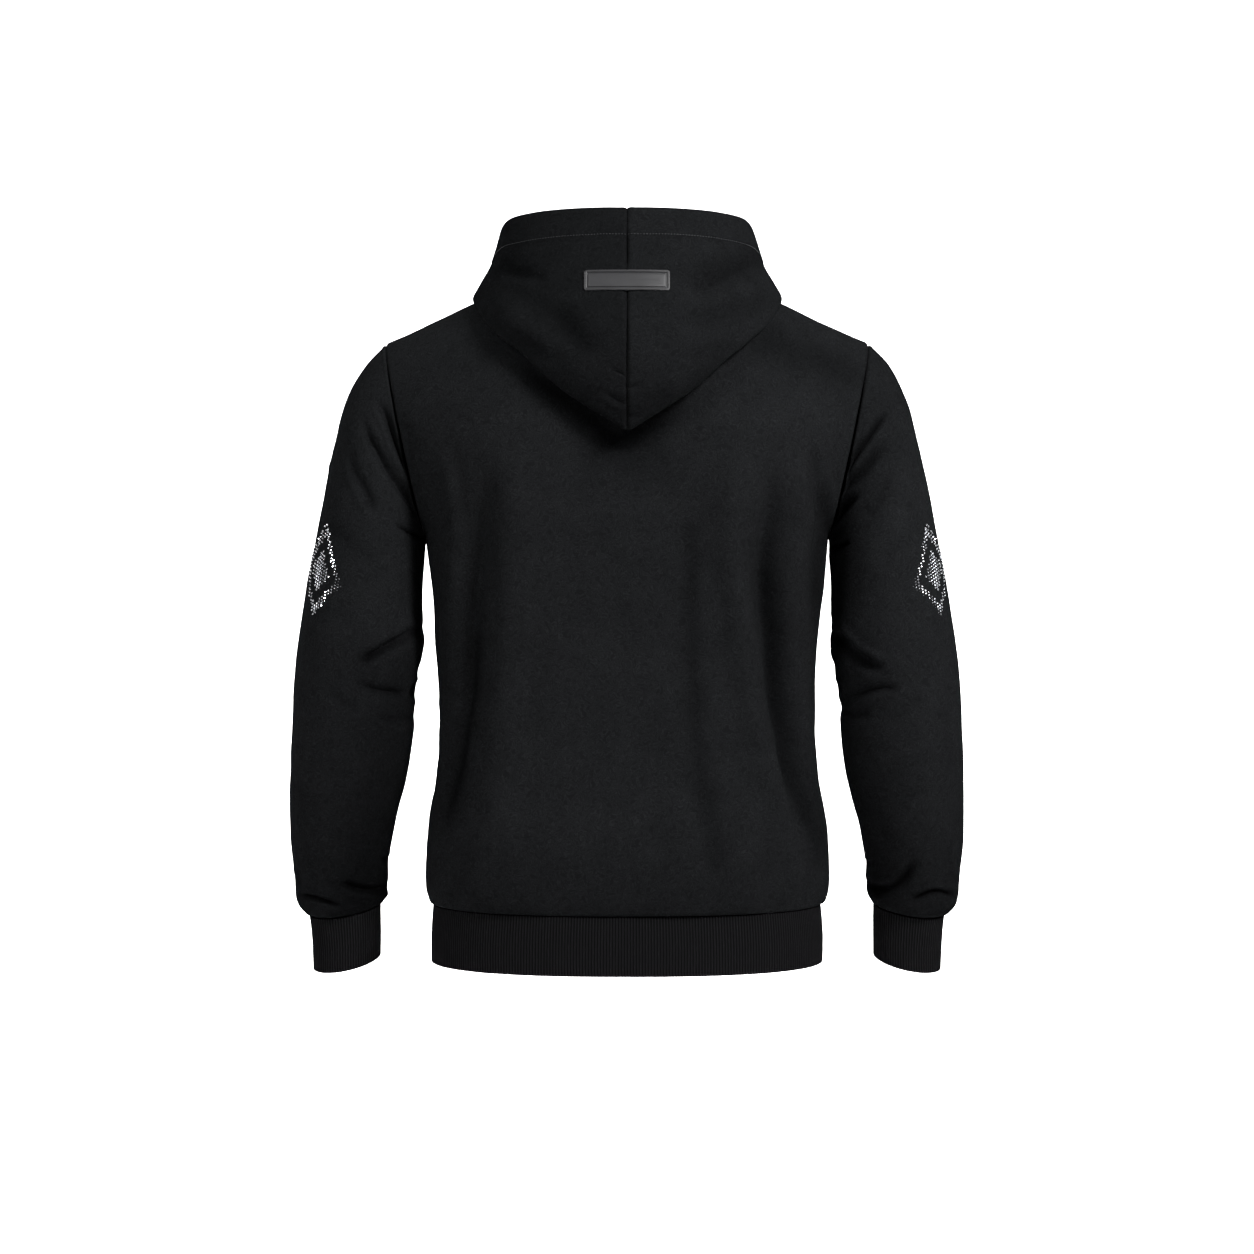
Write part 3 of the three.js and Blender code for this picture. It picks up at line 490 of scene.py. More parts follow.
def body_surface(panel, across, level):
    """Middle of a body panel's cloth, before its folds."""
    share = np.abs(across)
    oval = 2 / ROUNDNESS
    edge = panel_edge(np.minimum(level, 2))
    z = mix(edge.flat_z, edge.z, share**4)
    section = BODY(z)
    depth = section.back - SEAM_PLANE if panel == "back" else section.front + SEAM_PLANE
    widest = np.arccos(np.clip(edge.reach / depth, 0, 1) ** (1 / oval))
    x = edge.x * (np.sin(widest * share) / np.sin(widest)) ** oval
    reach = depth * np.clip(np.cos(widest * share), 0, 1) ** oval
    top = panel_top(panel, share)
    rise = np.radians(90 * np.clip(level - 2, 0, 1))
    a = rise * top.arc / np.radians(90)
    high = level > 2
    z = np.where(high, mix(z, top.z, np.sin(a) / np.sin(top.arc)), z)
    reach = np.where(high, mix(top.reach, reach, (np.cos(a) - np.cos(top.arc)) / (1 - np.cos(top.arc))), reach)
    x = np.where(high, mix(x, top.x, np.sin(rise)), x)
    sign = 1 if panel == "back" else -1
    return np.stack([np.sign(across) * x, SEAM_PLANE + sign * (reach + CLOSE), z], axis=-1)


def ring_surface(rows, at, turn):
    """Middle of the left sleeve's or cuff's cloth: turn 0 is outermost, 90 the back and 180 innermost."""
    row = rows(at)
    cos, sin = np.cos(np.radians(turn)), np.sin(np.radians(turn))
    return np.stack(
        [
            (row.out_x + row.in_x) / 2 + (row.out_x - row.in_x) / 2 * cos,
            (row.back + row.front) / 2 + (row.back - row.front) / 2 * sin,
            (row.out_z + row.in_z) / 2 + (row.out_z - row.in_z) / 2 * cos - row.tip * sin,
        ],
        axis=-1,
    )


def sleeve_surface(ring, turn, cloth):
    """Middle of the left sleeve's cloth, before its folds. Its first ring stands off the armhole."""
    point = ring_surface(SLEEVE, ring, turn)
    under = (1 - np.cos(np.radians(turn))) / 2
    point[..., 0] += (1 - smooth(0, 1.5, ring)) * (2 * CLOSE + 0.25 + under * (cloth + 0.2))
    return point


def neckline(turn):
    """The neckline's distance from the neck's axis, and its height. Turn 0 is the centre back."""
    back = turn <= 90
    a = np.radians(np.where(back, 90 - turn, turn - 90))
    reach = np.where(back, NECK.back, NECK.front)
    t = np.arctan2(np.sin(a) / reach, np.cos(a) / NECK.half_width)
    drop = np.where(back, NECK.back_drop, NECK.front_drop)
    return np.hypot(NECK.half_width * np.cos(t), reach * np.sin(t)), -drop * np.sin(t) ** 2


def section_curve(points, count):
    """A smooth curve through the points, in steps of equal length."""
    p = np.vstack([2 * points[0] - points[1], points, 2 * points[-1] - points[-2]])
    fine = []
    for k in range(len(points) - 1):
        p0, p1, p2, p3 = p[k : k + 4]
        d0, d1, d2 = (max(np.linalg.norm(b - a) ** 0.5, 1e-4) for a, b in ((p0, p1), (p1, p2), (p2, p3)))
        t1 = ((p1 - p0) / d0 - (p2 - p0) / (d0 + d1) + (p2 - p1) / d1) * d1
        t2 = ((p2 - p1) / d1 - (p3 - p1) / (d1 + d2) + (p3 - p2) / d2) * d1
        t = np.linspace(0, 1, 48, endpoint=k == len(points) - 2)[:, None]
        fine.append(
            p1 + t1 * t + (-3 * p1 + 3 * p2 - 2 * t1 - t2) * t**2 + (2 * p1 - 2 * p2 + t1 + t2) * t**3
        )
    fine = np.vstack(fine)
    lengths = np.concatenate([[0], np.cumsum(np.linalg.norm(np.diff(fine, axis=0), axis=1))])
    even = np.linspace(0, lengths[-1], count)
    return np.stack([np.interp(even, lengths, fine[:, k]) for k in range(2)], axis=-1), lengths[-1]


HOOD_TURNS = np.linspace(0, 180, 121)
HOOD_FINE = 401


def hood_sections(cloth):
    """Every section of the left half of the hood, finely, as r and z, and its length."""
    curves, lengths = [], []
    for turn in HOOD_TURNS:
        s = HOOD(turn)
        r, z = neckline(turn)
        # towards its lower edge the hood curls under
        deep = 1 - smooth(30, 62, turn)
        points = np.array(
            [
                (s.rim_r, s.rim_z),
                (s.side_r, s.side_z),
                (mix(s.side_r, s.fold_r, 0.6) + CURL.out * deep, mix(s.side_z, s.fold_z, 0.55)),
                (s.fold_r - CURL.under * deep, s.fold_z),
                (s.under_r, s.under_z),
                (s.crest_r, s.crest_z),
                (r + 1, z + cloth / 2 + SEAM_GAP + 2.4),
            ],
            float,
        )
        curve, length = section_curve(points, HOOD_FINE)
        curves.append(curve)
        lengths.append(length)
    return np.array(curves), np.array(lengths)


class Hood:
    """The left half of the hood's cloth, read at a turn round the neck and a distance down from its rim."""

    def __init__(self, cloth):
        self.curves, self.lengths = hood_sections(cloth)

    def length(self, turn):
        return np.interp(turn, HOOD_TURNS, self.lengths)

    def r_z(self, turn, share):
        i = np.clip(turn / 180 * (len(HOOD_TURNS) - 1), 0, len(HOOD_TURNS) - 1.0001)
        j = np.clip(share, 0, 1) * (HOOD_FINE - 1.0001)
        i0, j0 = i.astype(int), j.astype(int)
        fi, fj = (i - i0)[..., None], (j - j0)[..., None]
        c = self.curves
        return (c[i0, j0] * (1 - fi) + c[i0 + 1, j0] * fi) * (1 - fj) + (
            c[i0, j0 + 1] * (1 - fi) + c[i0 + 1, j0 + 1] * fi
        ) * fj

    def surface(self, turn, share):
        rz = self.r_z(turn, share)
        a = np.radians(turn)
        return np.stack(
            [rz[..., 0] * np.sin(a) + CLOSE, SEAM_PLANE + rz[..., 0] * np.cos(a), rz[..., 1]], axis=-1
        )

    def at_x(self, x, down):
        """The cloth at x across the back, so far down from the rim: its point and its normal."""

        def point(x, down):
            turn = np.zeros(np.shape(x))
            for _ in range(12):
                p = self.surface(turn, down / self.length(turn))
                r = np.hypot(p[..., 0] - CLOSE, p[..., 1] - SEAM_PLANE)
                turn = np.degrees(np.arcsin(np.clip((np.abs(x) - CLOSE) / r, 0, 1)))
            p[..., 0] = x
            return p

        here = point(x, down)
        normal = np.cross(point(x, down + 1) - point(x, down - 1), point(x - 1, down) - point(x + 1, down))
        return here, normal / np.linalg.norm(normal, axis=-1, keepdims=True)


def normals(grid, closed):
    """Unit normals at a grid's points. A closed grid runs round in its second direction."""
    along = np.gradient(grid, axis=0)
    if closed:
        across = np.roll(grid, -1, axis=1) - np.roll(grid, 1, axis=1)
    else:
        across = np.gradient(grid, axis=1)
    n = np.cross(along, across)
    return n / np.maximum(np.linalg.norm(n, axis=-1, keepdims=True), 1e-9)


def push_in(grid, depth, closed, flip):
    """The grid with each point moved in by its depth, along the cloth's normal."""
    n = normals(grid, closed) * (-1 if flip else 1)
    return grid - n * depth[..., None]


# ---- meshes ----
def new_object(name, points, faces, material):
    """A smooth mesh at the origin, from points in millimetres."""
    mesh = bpy.data.meshes.new(name)
    mesh.from_pydata((np.asarray(points) * MM).tolist(), [], [list(map(int, f)) for f in faces])
    mesh.validate()
    mesh.shade_smooth()
    mesh.materials.append(material)
    obj = bpy.data.objects.new(name, mesh)
    bpy.context.scene.collection.objects.link(obj)
    return obj


def mirror_points(points):
    return points * np.array([-1.0, 1.0, 1.0])


def wall_faces(rows, cols, closed):
    """Faces of a wall whose points are an outer grid and then an inner one, with its edges closed."""
    base, last = rows * cols, (rows - 1) * cols
    steps = cols if closed else cols - 1
    i, j = np.meshgrid(np.arange(rows - 1), np.arange(steps), indexing="ij")
    a, b = (i * cols + j).ravel(), ((i + 1) * cols + j).ravel()
    c, d = ((i + 1) * cols + (j + 1) % cols).ravel(), (i * cols + (j + 1) % cols).ravel()
    k = np.arange(steps)
    k1 = (k + 1) % cols
    faces = [
        np.stack([a, b, c, d], 1),
        np.stack([a, d, c, b], 1) + base,
        np.stack([k, k1, k1 + base, k + base], 1),
        np.stack([last + k1, last + k, last + k + base, last + k1 + base], 1),
    ]
    if not closed:
        m = np.arange(rows - 1) * cols
        e = m + cols - 1
        faces.append(np.stack([m + cols, m, m + base, m + cols + base], 1))
        faces.append(np.stack([e, e + cols, e + cols + base, e + base], 1))
    return np.concatenate(faces)


def shell(name, grid, cloth, thin, trim, painted_shade, closed=False, flip=False, raised=0, mirror=False):
    """A wall of fleece round a grid of middle points.

    thin is the share of the cloth's thickness at each point, trim turns the normals at the edges, then comes
    the share of colour that is lost to painted shade, and raised lifts the outside.
    """
    n = normals(grid, closed) * (-1 if flip else 1)
    trim(n)
    n /= np.linalg.norm(n, axis=-1, keepdims=True)
    half = cloth / 2 * thin
    outer = grid + n * (half + raised)[..., None]
    inner = grid - n * half[..., None]
    points = np.concatenate([outer.reshape(-1, 3), inner.reshape(-1, 3)])
    if mirror:
        points = mirror_points(points)
    faces = wall_faces(*grid.shape[:2], closed)
    if flip != mirror:
        faces = faces[:, ::-1]
    obj = new_object(name, points, faces, fleece())
    obj.data.set_sharp_from_angle(angle=math.radians(50))
    # painted shade: the share of the fleece's colour, stored on each point, that the material darkens to black
    share = np.clip(painted_shade, 0, 0.75).ravel()
    obj.data.attributes.new("painted_shade", "FLOAT", "POINT").data.foreach_set("value", np.concatenate([share, share]))
    return obj


def rides(obj, slot, *nodes):
    """Puts a piece on the garment's one body and hides the nodes that it stands for. slot is not used."""
    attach(obj, "root")
    if nodes:
        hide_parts(*nodes)


# ---- materials ----
def hex_colour(text):
    """Linear RGBA of an sRGB hex value."""
    channels = [int(text.lstrip("#")[k : k + 2], 16) / 255 for k in (0, 2, 4)]
    return tuple(c / 12.92 if c <= 0.04045 else ((c + 0.055) / 1.055) ** 2.4 for c in channels) + (1.0,)


def shade(colour, share):
    return tuple(c * share for c in colour[:3]) + (1.0,)


def add_node(tree, kind, settings=None, inputs=None, stops=()):
    """A node with its settings, its inputs given as values or as sockets to link from, and a ramp's stops."""
    node = tree.nodes.new(kind)
    for name, value in (settings or {}).items():
        setattr(node, name, value)
    for name, value in (inputs or {}).items():
        socket = node.inputs[name]
        if isinstance(value, bpy.types.NodeSocket):
            tree.links.new(value, socket)
        else:
            socket.default_value = value
    if stops:
        elements = node.color_ramp.elements
        while len(elements) < len(stops):
            elements.new(0.5)
        for element, (at, colour) in zip(elements, stops):
            element.position = at
            element.color = colour
    return node


def new_material(name):
    """An empty material, its tree, and the place on the garment that its patterns read."""
    material = bpy.data.materials.new(name)
    material.use_nodes = True
    tree = material.node_tree
    tree.nodes.clear()
    return material, tree, add_node(tree, "ShaderNodeTexCoord").outputs["Object"]


def finish_material(material, shader):
    add_node(material.node_tree, "ShaderNodeOutputMaterial", inputs={"Surface": shader.outputs[0]})
    return material


def brushed_fleece(name, colour):
    """Cotton fleece with a lightly brushed face: matt, with short fibres laid in swirls and no shine."""
    material, tree, place = new_material(name)
    # fibres combed into swirls: light strokes 3 to 8 mm long and about 1 mm wide, coarser than real ones so
    # that they show
    lay = add_node(
        tree, "ShaderNodeTexNoise", inputs={"Vector": place, "Scale": 75.0, "Detail": 1.0, "Roughness": 0.5}
    )
    bent = add_node(
        tree,
        "ShaderNodeVectorMath",
        {"operation": "MULTIPLY_ADD"},
        {0: lay.outputs["Color"], 1: (0.02, 0.02, 0.02), 2: place},
    )
    strokes = add_node(
        tree,
        "ShaderNodeTexNoise",
        inputs={"Vector": bent.outputs[0], "Scale": 330.0, "Detail": 1.5, "Roughness": 0.5},
    )
    # single fibres, about a millimetre apart
    fibres = add_node(
        tree, "ShaderNodeTexNoise", inputs={"Vector": place, "Scale": 1000.0, "Detail": 1.0, "Roughness": 0.5}
    )
    # slow change of tone from wear and wash, 30 mm across
    mottle = add_node(
        tree, "ShaderNodeTexNoise", inputs={"Vector": place, "Scale": 36.0, "Detail": 2.0, "Roughness": 0.5}
    )
    base = hex_colour(colour)
    shares = ((0.3, 0.86), (0.44, 0.89), (0.5, 1.46), (0.56, 0.9), (0.7, 1.16))
    ramp = add_node(
        tree,
        "ShaderNodeValToRGB",
        inputs={"Fac": strokes.outputs["Fac"]},
        stops=[(at, shade(base, share)) for at, share in shares],
    )
    patches = add_node(
        tree,
        "ShaderNodeValToRGB",
        inputs={"Fac": mottle.outputs["Fac"]},
        stops=[(0.3, (0.85, 0.85, 0.85, 1.0)), (0.7, (1.0, 1.0, 1.0, 1.0))],
    )
    tone = add_node(
        tree,
        "ShaderNodeMix",
        {"data_type": "RGBA", "blend_type": "MULTIPLY"},
        {0: 1.0, 6: ramp.outputs["Color"], 7: patches.outputs["Color"]},
    )
    # the painted shade stored on the cloth: the colour goes towards black by its share
    painted_shade_attribute = add_node(tree, "ShaderNodeAttribute", {"attribute_type": "GEOMETRY", "attribute_name": "painted_shade"})
    tone = add_node(
        tree,
        "ShaderNodeMix",
        {"data_type": "RGBA"},
        {0: painted_shade_attribute.outputs["Fac"], 6: tone.outputs[2], 7: (0.0, 0.0, 0.0, 1.0)},
    )
    fine = add_node(
        tree, "ShaderNodeBump", inputs={"Strength": 0.3, "Distance": 0.0003, "Height": fibres.outputs["Fac"]}
    )
    bump = add_node(
        tree,
        "ShaderNodeBump",
        inputs={
            "Strength": 0.5,
            "Distance": 0.0006,
            "Height": strokes.outputs["Fac"],
            "Normal": fine.outputs["Normal"],
        },
    )
    shader = add_node(
        tree,
        "ShaderNodeBsdfPrincipled",
        inputs={
            "Base Color": tone.outputs[2],
            "Roughness": 0.95,
            "Specular IOR Level": 0.0,
            "Normal": bump.outputs["Normal"],
        },
    )
    return finish_material(material, shader)


def rib_knit(name, colour):
    """1x1 rib knit in cotton: matt, with painted shade between its ribs and painted light on their tops, and a
    fine grain of stitches along each.
    """
    material, tree, place = new_material(name)
    grain = add_node(
        tree, "ShaderNodeTexNoise", inputs={"Vector": place, "Scale": 420.0, "Detail": 2.0, "Roughness": 0.6}
    )
    relief = add_node(tree, "ShaderNodeAttribute", {"attribute_name": "relief"})
    base = hex_colour(colour)
    # painted shade in the grooves between the ribs and painted light on their tops, read from the relief
    ramp = add_node(
        tree,
        "ShaderNodeValToRGB",
        inputs={"Fac": relief.outputs["Fac"]},
        stops=[(0.1, shade(base, 0.45)), (0.9, shade(base, 1.35))],
    )
    bump = add_node(
        tree, "ShaderNodeBump", inputs={"Strength": 0.4, "Distance": 0.0006, "Height": grain.outputs["Fac"]}
    )
    shader = add_node(
        tree,
        "ShaderNodeBsdfPrincipled",
        inputs={
            "Base Color": ramp.outputs["Color"],
            "Roughness": 0.95,
            "Specular IOR Level": 0.0,
            "Normal": bump.outputs["Normal"],
        },
    )
    return finish_material(material, shader)


def moulded_patch(name, colour):
    """Moulded rubber with a satin face, faintly grained along its length."""
    material, tree, place = new_material(name)
    stretch = add_node(tree, "ShaderNodeMapping", inputs={"Vector": place, "Scale": (0.35, 1.0, 2.2)})
    grain = add_node(
        tree, "ShaderNodeTexNoise", inputs={"Vector": stretch.outputs[0], "Scale": 420.0, "Detail": 3.0}
    )
    cloud = add_node(tree, "ShaderNodeTexNoise", inputs={"Vector": place, "Scale": 60.0, "Detail": 2.0})
    base = hex_colour(colour)
    ramp = add_node(
        tree,
        "ShaderNodeValToRGB",
        inputs={"Fac": cloud.outputs["Fac"]},
        stops=[(0.3, shade(base, 0.8)), (0.7, shade(base, 1.15))],
    )
    bump = add_node(
        tree, "ShaderNodeBump", inputs={"Strength": 0.25, "Distance": 0.0003, "Height": grain.outputs["Fac"]}
    )
    shader = add_node(
        tree,
        "ShaderNodeBsdfPrincipled",
        inputs={
            "Base Color": ramp.outputs["Color"],
            "Metallic": 0.0,
            "Roughness": 0.5,
            "Normal": bump.outputs["Normal"],
        },
    )
    return finish_material(material, shader)


def polyester_thread(name, colour):
    """Spun polyester sewing thread with a slight lustre, roughened by its twist."""
    material, tree, place = new_material(name)
    twist = add_node(tree, "ShaderNodeTexNoise", inputs={"Vector": place, "Scale": 2500.0, "Detail": 1.0})
    bump = add_node(
        tree, "ShaderNodeBump", inputs={"Strength": 0.4, "Distance": 0.0002, "Height": twist.outputs["Fac"]}
    )
    shader = add_node(
        tree,
        "ShaderNodeBsdfPrincipled",
        inputs={"Base Color": hex_colour(colour), "Roughness": 0.55, "Normal": bump.outputs["Normal"]},
    )
    return finish_material(material, shader)


def crystal(name, colour):
    """Cut glass stones backed with silver foil: bright, with flat facets, some of them darker than others."""
    material, tree, place = new_material(name)
    each = add_node(tree, "ShaderNodeTexVoronoi", inputs={"Vector": place, "Scale": 240.0})
    base = hex_colour(colour)
    ramp = add_node(
        tree,
        "ShaderNodeValToRGB",
        inputs={"Fac": each.outputs["Color"]},
        stops=[(0.0, shade(base, 0.45)), (1.0, base)],
    )
    shader = add_node(
        tree,
        "ShaderNodeBsdfPrincipled",
        inputs={"Base Color": ramp.outputs["Color"], "Metallic": 1.0, "Roughness": 0.16},
    )
    return finish_material(material, shader)


def paper_backdrop(name, colour):
    """Smooth pale studio paper with a slight tooth."""
    material, tree, place = new_material(name)
    tooth = add_node(tree, "ShaderNodeTexNoise", inputs={"Vector": place, "Scale": 900.0})
    bump = add_node(
        tree, "ShaderNodeBump", inputs={"Strength": 0.05, "Distance": 0.0002, "Height": tooth.outputs["Fac"]}
    )
    shader = add_node(
        tree,
        "ShaderNodeBsdfPrincipled",
        inputs={"Base Color": hex_colour(colour), "Roughness": 0.9, "Normal": bump.outputs["Normal"]},
    )
    return finish_material(material, shader)


def material_once(name, maker, colour):
    return bpy.data.materials.get(name) or maker(name, colour)


def fleece():
    return material_once("brushed cotton fleece", brushed_fleece, bpy.context.scene.hoodie_colours.fleece)


def rib():
    return material_once("cotton rib knit", rib_knit, bpy.context.scene.hoodie_colours.rib)


# ---- Geometry Nodes ----
def tree_with(name, inputs):
    """A Geometry Nodes tree with a geometry input and output and these named inputs."""
    tree = bpy.data.node_groups.new(name, "GeometryNodeTree")
    tree.interface.new_socket("Geometry", in_out="INPUT", socket_type="NodeSocketGeometry")
    for label, kind, default in inputs:
        socket = tree.interface.new_socket(label, in_out="INPUT", socket_type=kind)
        if default is not None:
            socket.default_value = default
    tree.interface.new_socket("Geometry", in_out="OUTPUT", socket_type="NodeSocketGeometry")
    return tree, tree.nodes.new("NodeGroupInput")


def end_tree(tree, geometry, material):
    """Every tree ends in plain geometry with its material."""
    real = add_node(tree, "GeometryNodeRealizeInstances", inputs={"Geometry": geometry})
    painted = add_node(
        tree, "GeometryNodeSetMaterial", inputs={"Geometry": real.outputs[0], "Material": material}
    )
    out = tree.nodes.new("NodeGroupOutput")
    tree.links.new(painted.outputs[0], out.inputs[0])


def applied(obj, tree, values, name):
    """The result of the tree on the object, as a plain mesh in a new object."""
    modifier = obj.modifiers.new("made", "NODES")
    modifier.node_group = tree
    by_name = {s.name: s.identifier for s in tree.interface.items_tree if s.in_out == "INPUT"}
    for label, value in values.items():
        modifier[by_name[label]] = value
    bpy.context.view_layer.update()
    done = obj.evaluated_get(bpy.context.evaluated_depsgraph_get())
    mesh = bpy.data.meshes.new_from_object(done)
    mesh.name = name
    obj.modifiers.remove(modifier)
    made = bpy.data.objects.new(name, mesh)
    bpy.context.scene.collection.objects.link(made)
    old = obj.data
    bpy.data.objects.remove(obj)
    bpy.data.meshes.remove(old)
    return made


def rib_relief_tree():
    """Raises ribs on the outside of a band: its points hold how far round they are, and which are outside."""
    tree, given = tree_with(
        "rib relief",
        [
            ("Ribs", "NodeSocketInt", 360),
            ("Height", "NodeSocketFloat", 0.0007),
            ("Material", "NodeSocketMaterial", None),
        ],
    )
    around = add_node(tree, "GeometryNodeInputNamedAttribute", inputs={"Name": "around"})
    outside = add_node(tree, "GeometryNodeInputNamedAttribute", inputs={"Name": "outside"})
    phase = add_node(
        tree, "ShaderNodeMath", {"operation": "MULTIPLY"}, {0: around.outputs[0], 1: given.outputs["Ribs"]}
    )
    wave = add_node(tree, "ShaderNodeMath", {"operation": "PINGPONG"}, {0: phase.outputs[0], 1: 0.5})
    twice = add_node(tree, "ShaderNodeMath", {"operation": "MULTIPLY"}, {0: wave.outputs[0], 1: 2.0})
    rounded = add_node(
        tree, "ShaderNodeMath", {"operation": "SMOOTH_MIN"}, {0: twice.outputs[0], 1: 0.85, 2: 0.3}
    )
    relief = add_node(
        tree, "ShaderNodeMath", {"operation": "MULTIPLY"}, {0: rounded.outputs[0], 1: outside.outputs[0]}
    )
    high = add_node(
        tree, "ShaderNodeMath", {"operation": "MULTIPLY"}, {0: relief.outputs[0], 1: given.outputs["Height"]}
    )
    normal = add_node(tree, "GeometryNodeInputNamedAttribute", {"data_type": "FLOAT_VECTOR"}, {"Name": "out"})
    offset = add_node(
        tree, "ShaderNodeVectorMath", {"operation": "SCALE"}, {0: normal.outputs[0], "Scale": high.outputs[0]}
    )
    kept = add_node(
        tree,
        "GeometryNodeStoreNamedAttribute",
        {"data_type": "FLOAT", "domain": "POINT"},
        {"Geometry": given.outputs["Geometry"], "Name": "relief", "Value": relief.outputs[0]},
    )
    moved = add_node(
        tree, "GeometryNodeSetPosition", inputs={"Geometry": kept.outputs[0], "Offset": offset.outputs[0]}
    )
    end_tree(tree, moved.outputs[0], given.outputs["Material"])
    return tree


def stitch_tree():
    """Lays stitches end to end along edges, each a small rounded bar lying on the cloth."""
    tree, given = tree_with(
        "stitch row",
        [
            ("Pitch", "NodeSocketFloat", 0.0028),
            ("Length", "NodeSocketFloat", 0.0021),
            ("Thickness", "NodeSocketFloat", 0.0006),
            ("Material", "NodeSocketMaterial", None),
        ],
    )
    path = add_node(tree, "GeometryNodeMeshToCurve", inputs={"Mesh": given.outputs["Geometry"]})
    even = add_node(
        tree,
        "GeometryNodeResampleCurve",
        {"mode": "LENGTH"},
        {"Curve": path.outputs[0], "Length": given.outputs["Pitch"]},
    )
    tangent = tree.nodes.new("GeometryNodeInputTangent")
    turned = add_node(tree, "FunctionNodeAlignRotationToVector", {"axis": "Z"}, {"Vector": tangent.outputs[0]})
    bar = add_node(tree, "GeometryNodeMeshUVSphere", inputs={"Segments": 6, "Rings": 5, "Radius": 0.5})
    size = add_node(
        tree,
        "ShaderNodeCombineXYZ",
        inputs={"X": given.outputs["Thickness"], "Y": given.outputs["Thickness"], "Z": given.outputs["Length"]},
    )
    laid = add_node(
        tree,
        "GeometryNodeInstanceOnPoints",
        inputs={
            "Points": even.outputs[0],
            "Instance": bar.outputs[0],
            "Rotation": turned.outputs[0],
            "Scale": size.outputs[0],
        },
    )
    end_tree(tree, laid.outputs[0], given.outputs["Material"])
    return tree


def stone_tree():
    """Sets a faceted stone on each point, turned to stand on the cloth."""
    tree, given = tree_with(
        "stones",
        [
            ("Size", "NodeSocketFloat", 0.003),
            ("Height", "NodeSocketFloat", 0.0013),
            ("Material", "NodeSocketMaterial", None),
        ],
    )
    out = add_node(tree, "GeometryNodeInputNamedAttribute", {"data_type": "FLOAT_VECTOR"}, {"Name": "out"})
    turned = add_node(tree, "FunctionNodeAlignRotationToVector", {"axis": "Z"}, {"Vector": out.outputs[0]})
    girdle = add_node(
        tree,
        "GeometryNodeMeshCone",
        {"fill_type": "NGON"},
        {"Vertices": 8, "Radius Top": 0.27, "Radius Bottom": 0.5, "Depth": 1.0},
    )
    size = add_node(
        tree,
        "ShaderNodeCombineXYZ",
        inputs={"X": given.outputs["Size"], "Y": given.outputs["Size"], "Z": given.outputs["Height"]},
    )
    cut = add_node(
        tree, "GeometryNodeSetShadeSmooth", inputs={"Geometry": girdle.outputs["Mesh"], "Shade Smooth": False}
    )
    points = add_node(tree, "GeometryNodeMeshToPoints", inputs={"Mesh": given.outputs["Geometry"]})
    laid = add_node(
        tree,
        "GeometryNodeInstanceOnPoints",
        inputs={
            "Points": points.outputs[0],
            "Instance": cut.outputs[0],
            "Rotation": turned.outputs[0],
            "Scale": size.outputs[0],
        },
    )
    end_tree(tree, laid.outputs[0], given.outputs["Material"])
    return tree


# ---- settings ----
LENGTH = {"unit": "LENGTH", "precision": 4}


class HoodieSizes(bpy.types.PropertyGroup):
    cloth: FloatProperty(
        name="Cloth", description="Thickness of the fleece", default=0.0020, min=0.0012, max=0.003, **LENGTH
    )
    folds: FloatProperty(
        name="Folds", description="Depth of every fold, 1 as made", default=1.0, min=0.0, max=1.5
    )
    hem_ribs: IntProperty(name="Hem ribs", description="Ribs round the hem band", default=360, min=60, max=500)
    cuff_ribs: IntProperty(name="Cuff ribs", description="Ribs round each cuff", default=80, min=20, max=120)
    rib_height: FloatProperty(
        name="Rib height", description="How far a rib stands out", default=0.0008, min=0.0, max=0.0015, **LENGTH
    )
    stitch: FloatProperty(
        name="Stitch", description="Pitch of the sewing", default=0.0029, min=0.002, max=0.006, **LENGTH
    )
    stone: FloatProperty(
        name="Stone", description="Width of a sleeve stone", default=0.0021, min=0.001, max=0.006, **LENGTH
    )


class HoodieColours(bpy.types.PropertyGroup):
    fleece: StringProperty(name="Fleece", description="Colour of the fleece, as sRGB hex", default="#18191a")
    rib: StringProperty(name="Rib", description="Colour of the rib knit, as sRGB hex", default="#151516")
    thread: StringProperty(name="Thread", description="Colour of the sewing, as sRGB hex", default="#2b2c2e")
    patch: StringProperty(name="Patch", description="Colour of the patch, as sRGB hex", default="#222224")
    stone: StringProperty(name="Stones", description="Colour of the stones, as sRGB hex", default="#eceef2")
    backdrop: StringProperty(name="Backdrop", description="Colour of the paper, as sRGB hex", default="#f6f6f6")


def settings():
    return bpy.context.scene.hoodie_sizes, bpy.context.scene.hoodie_colours


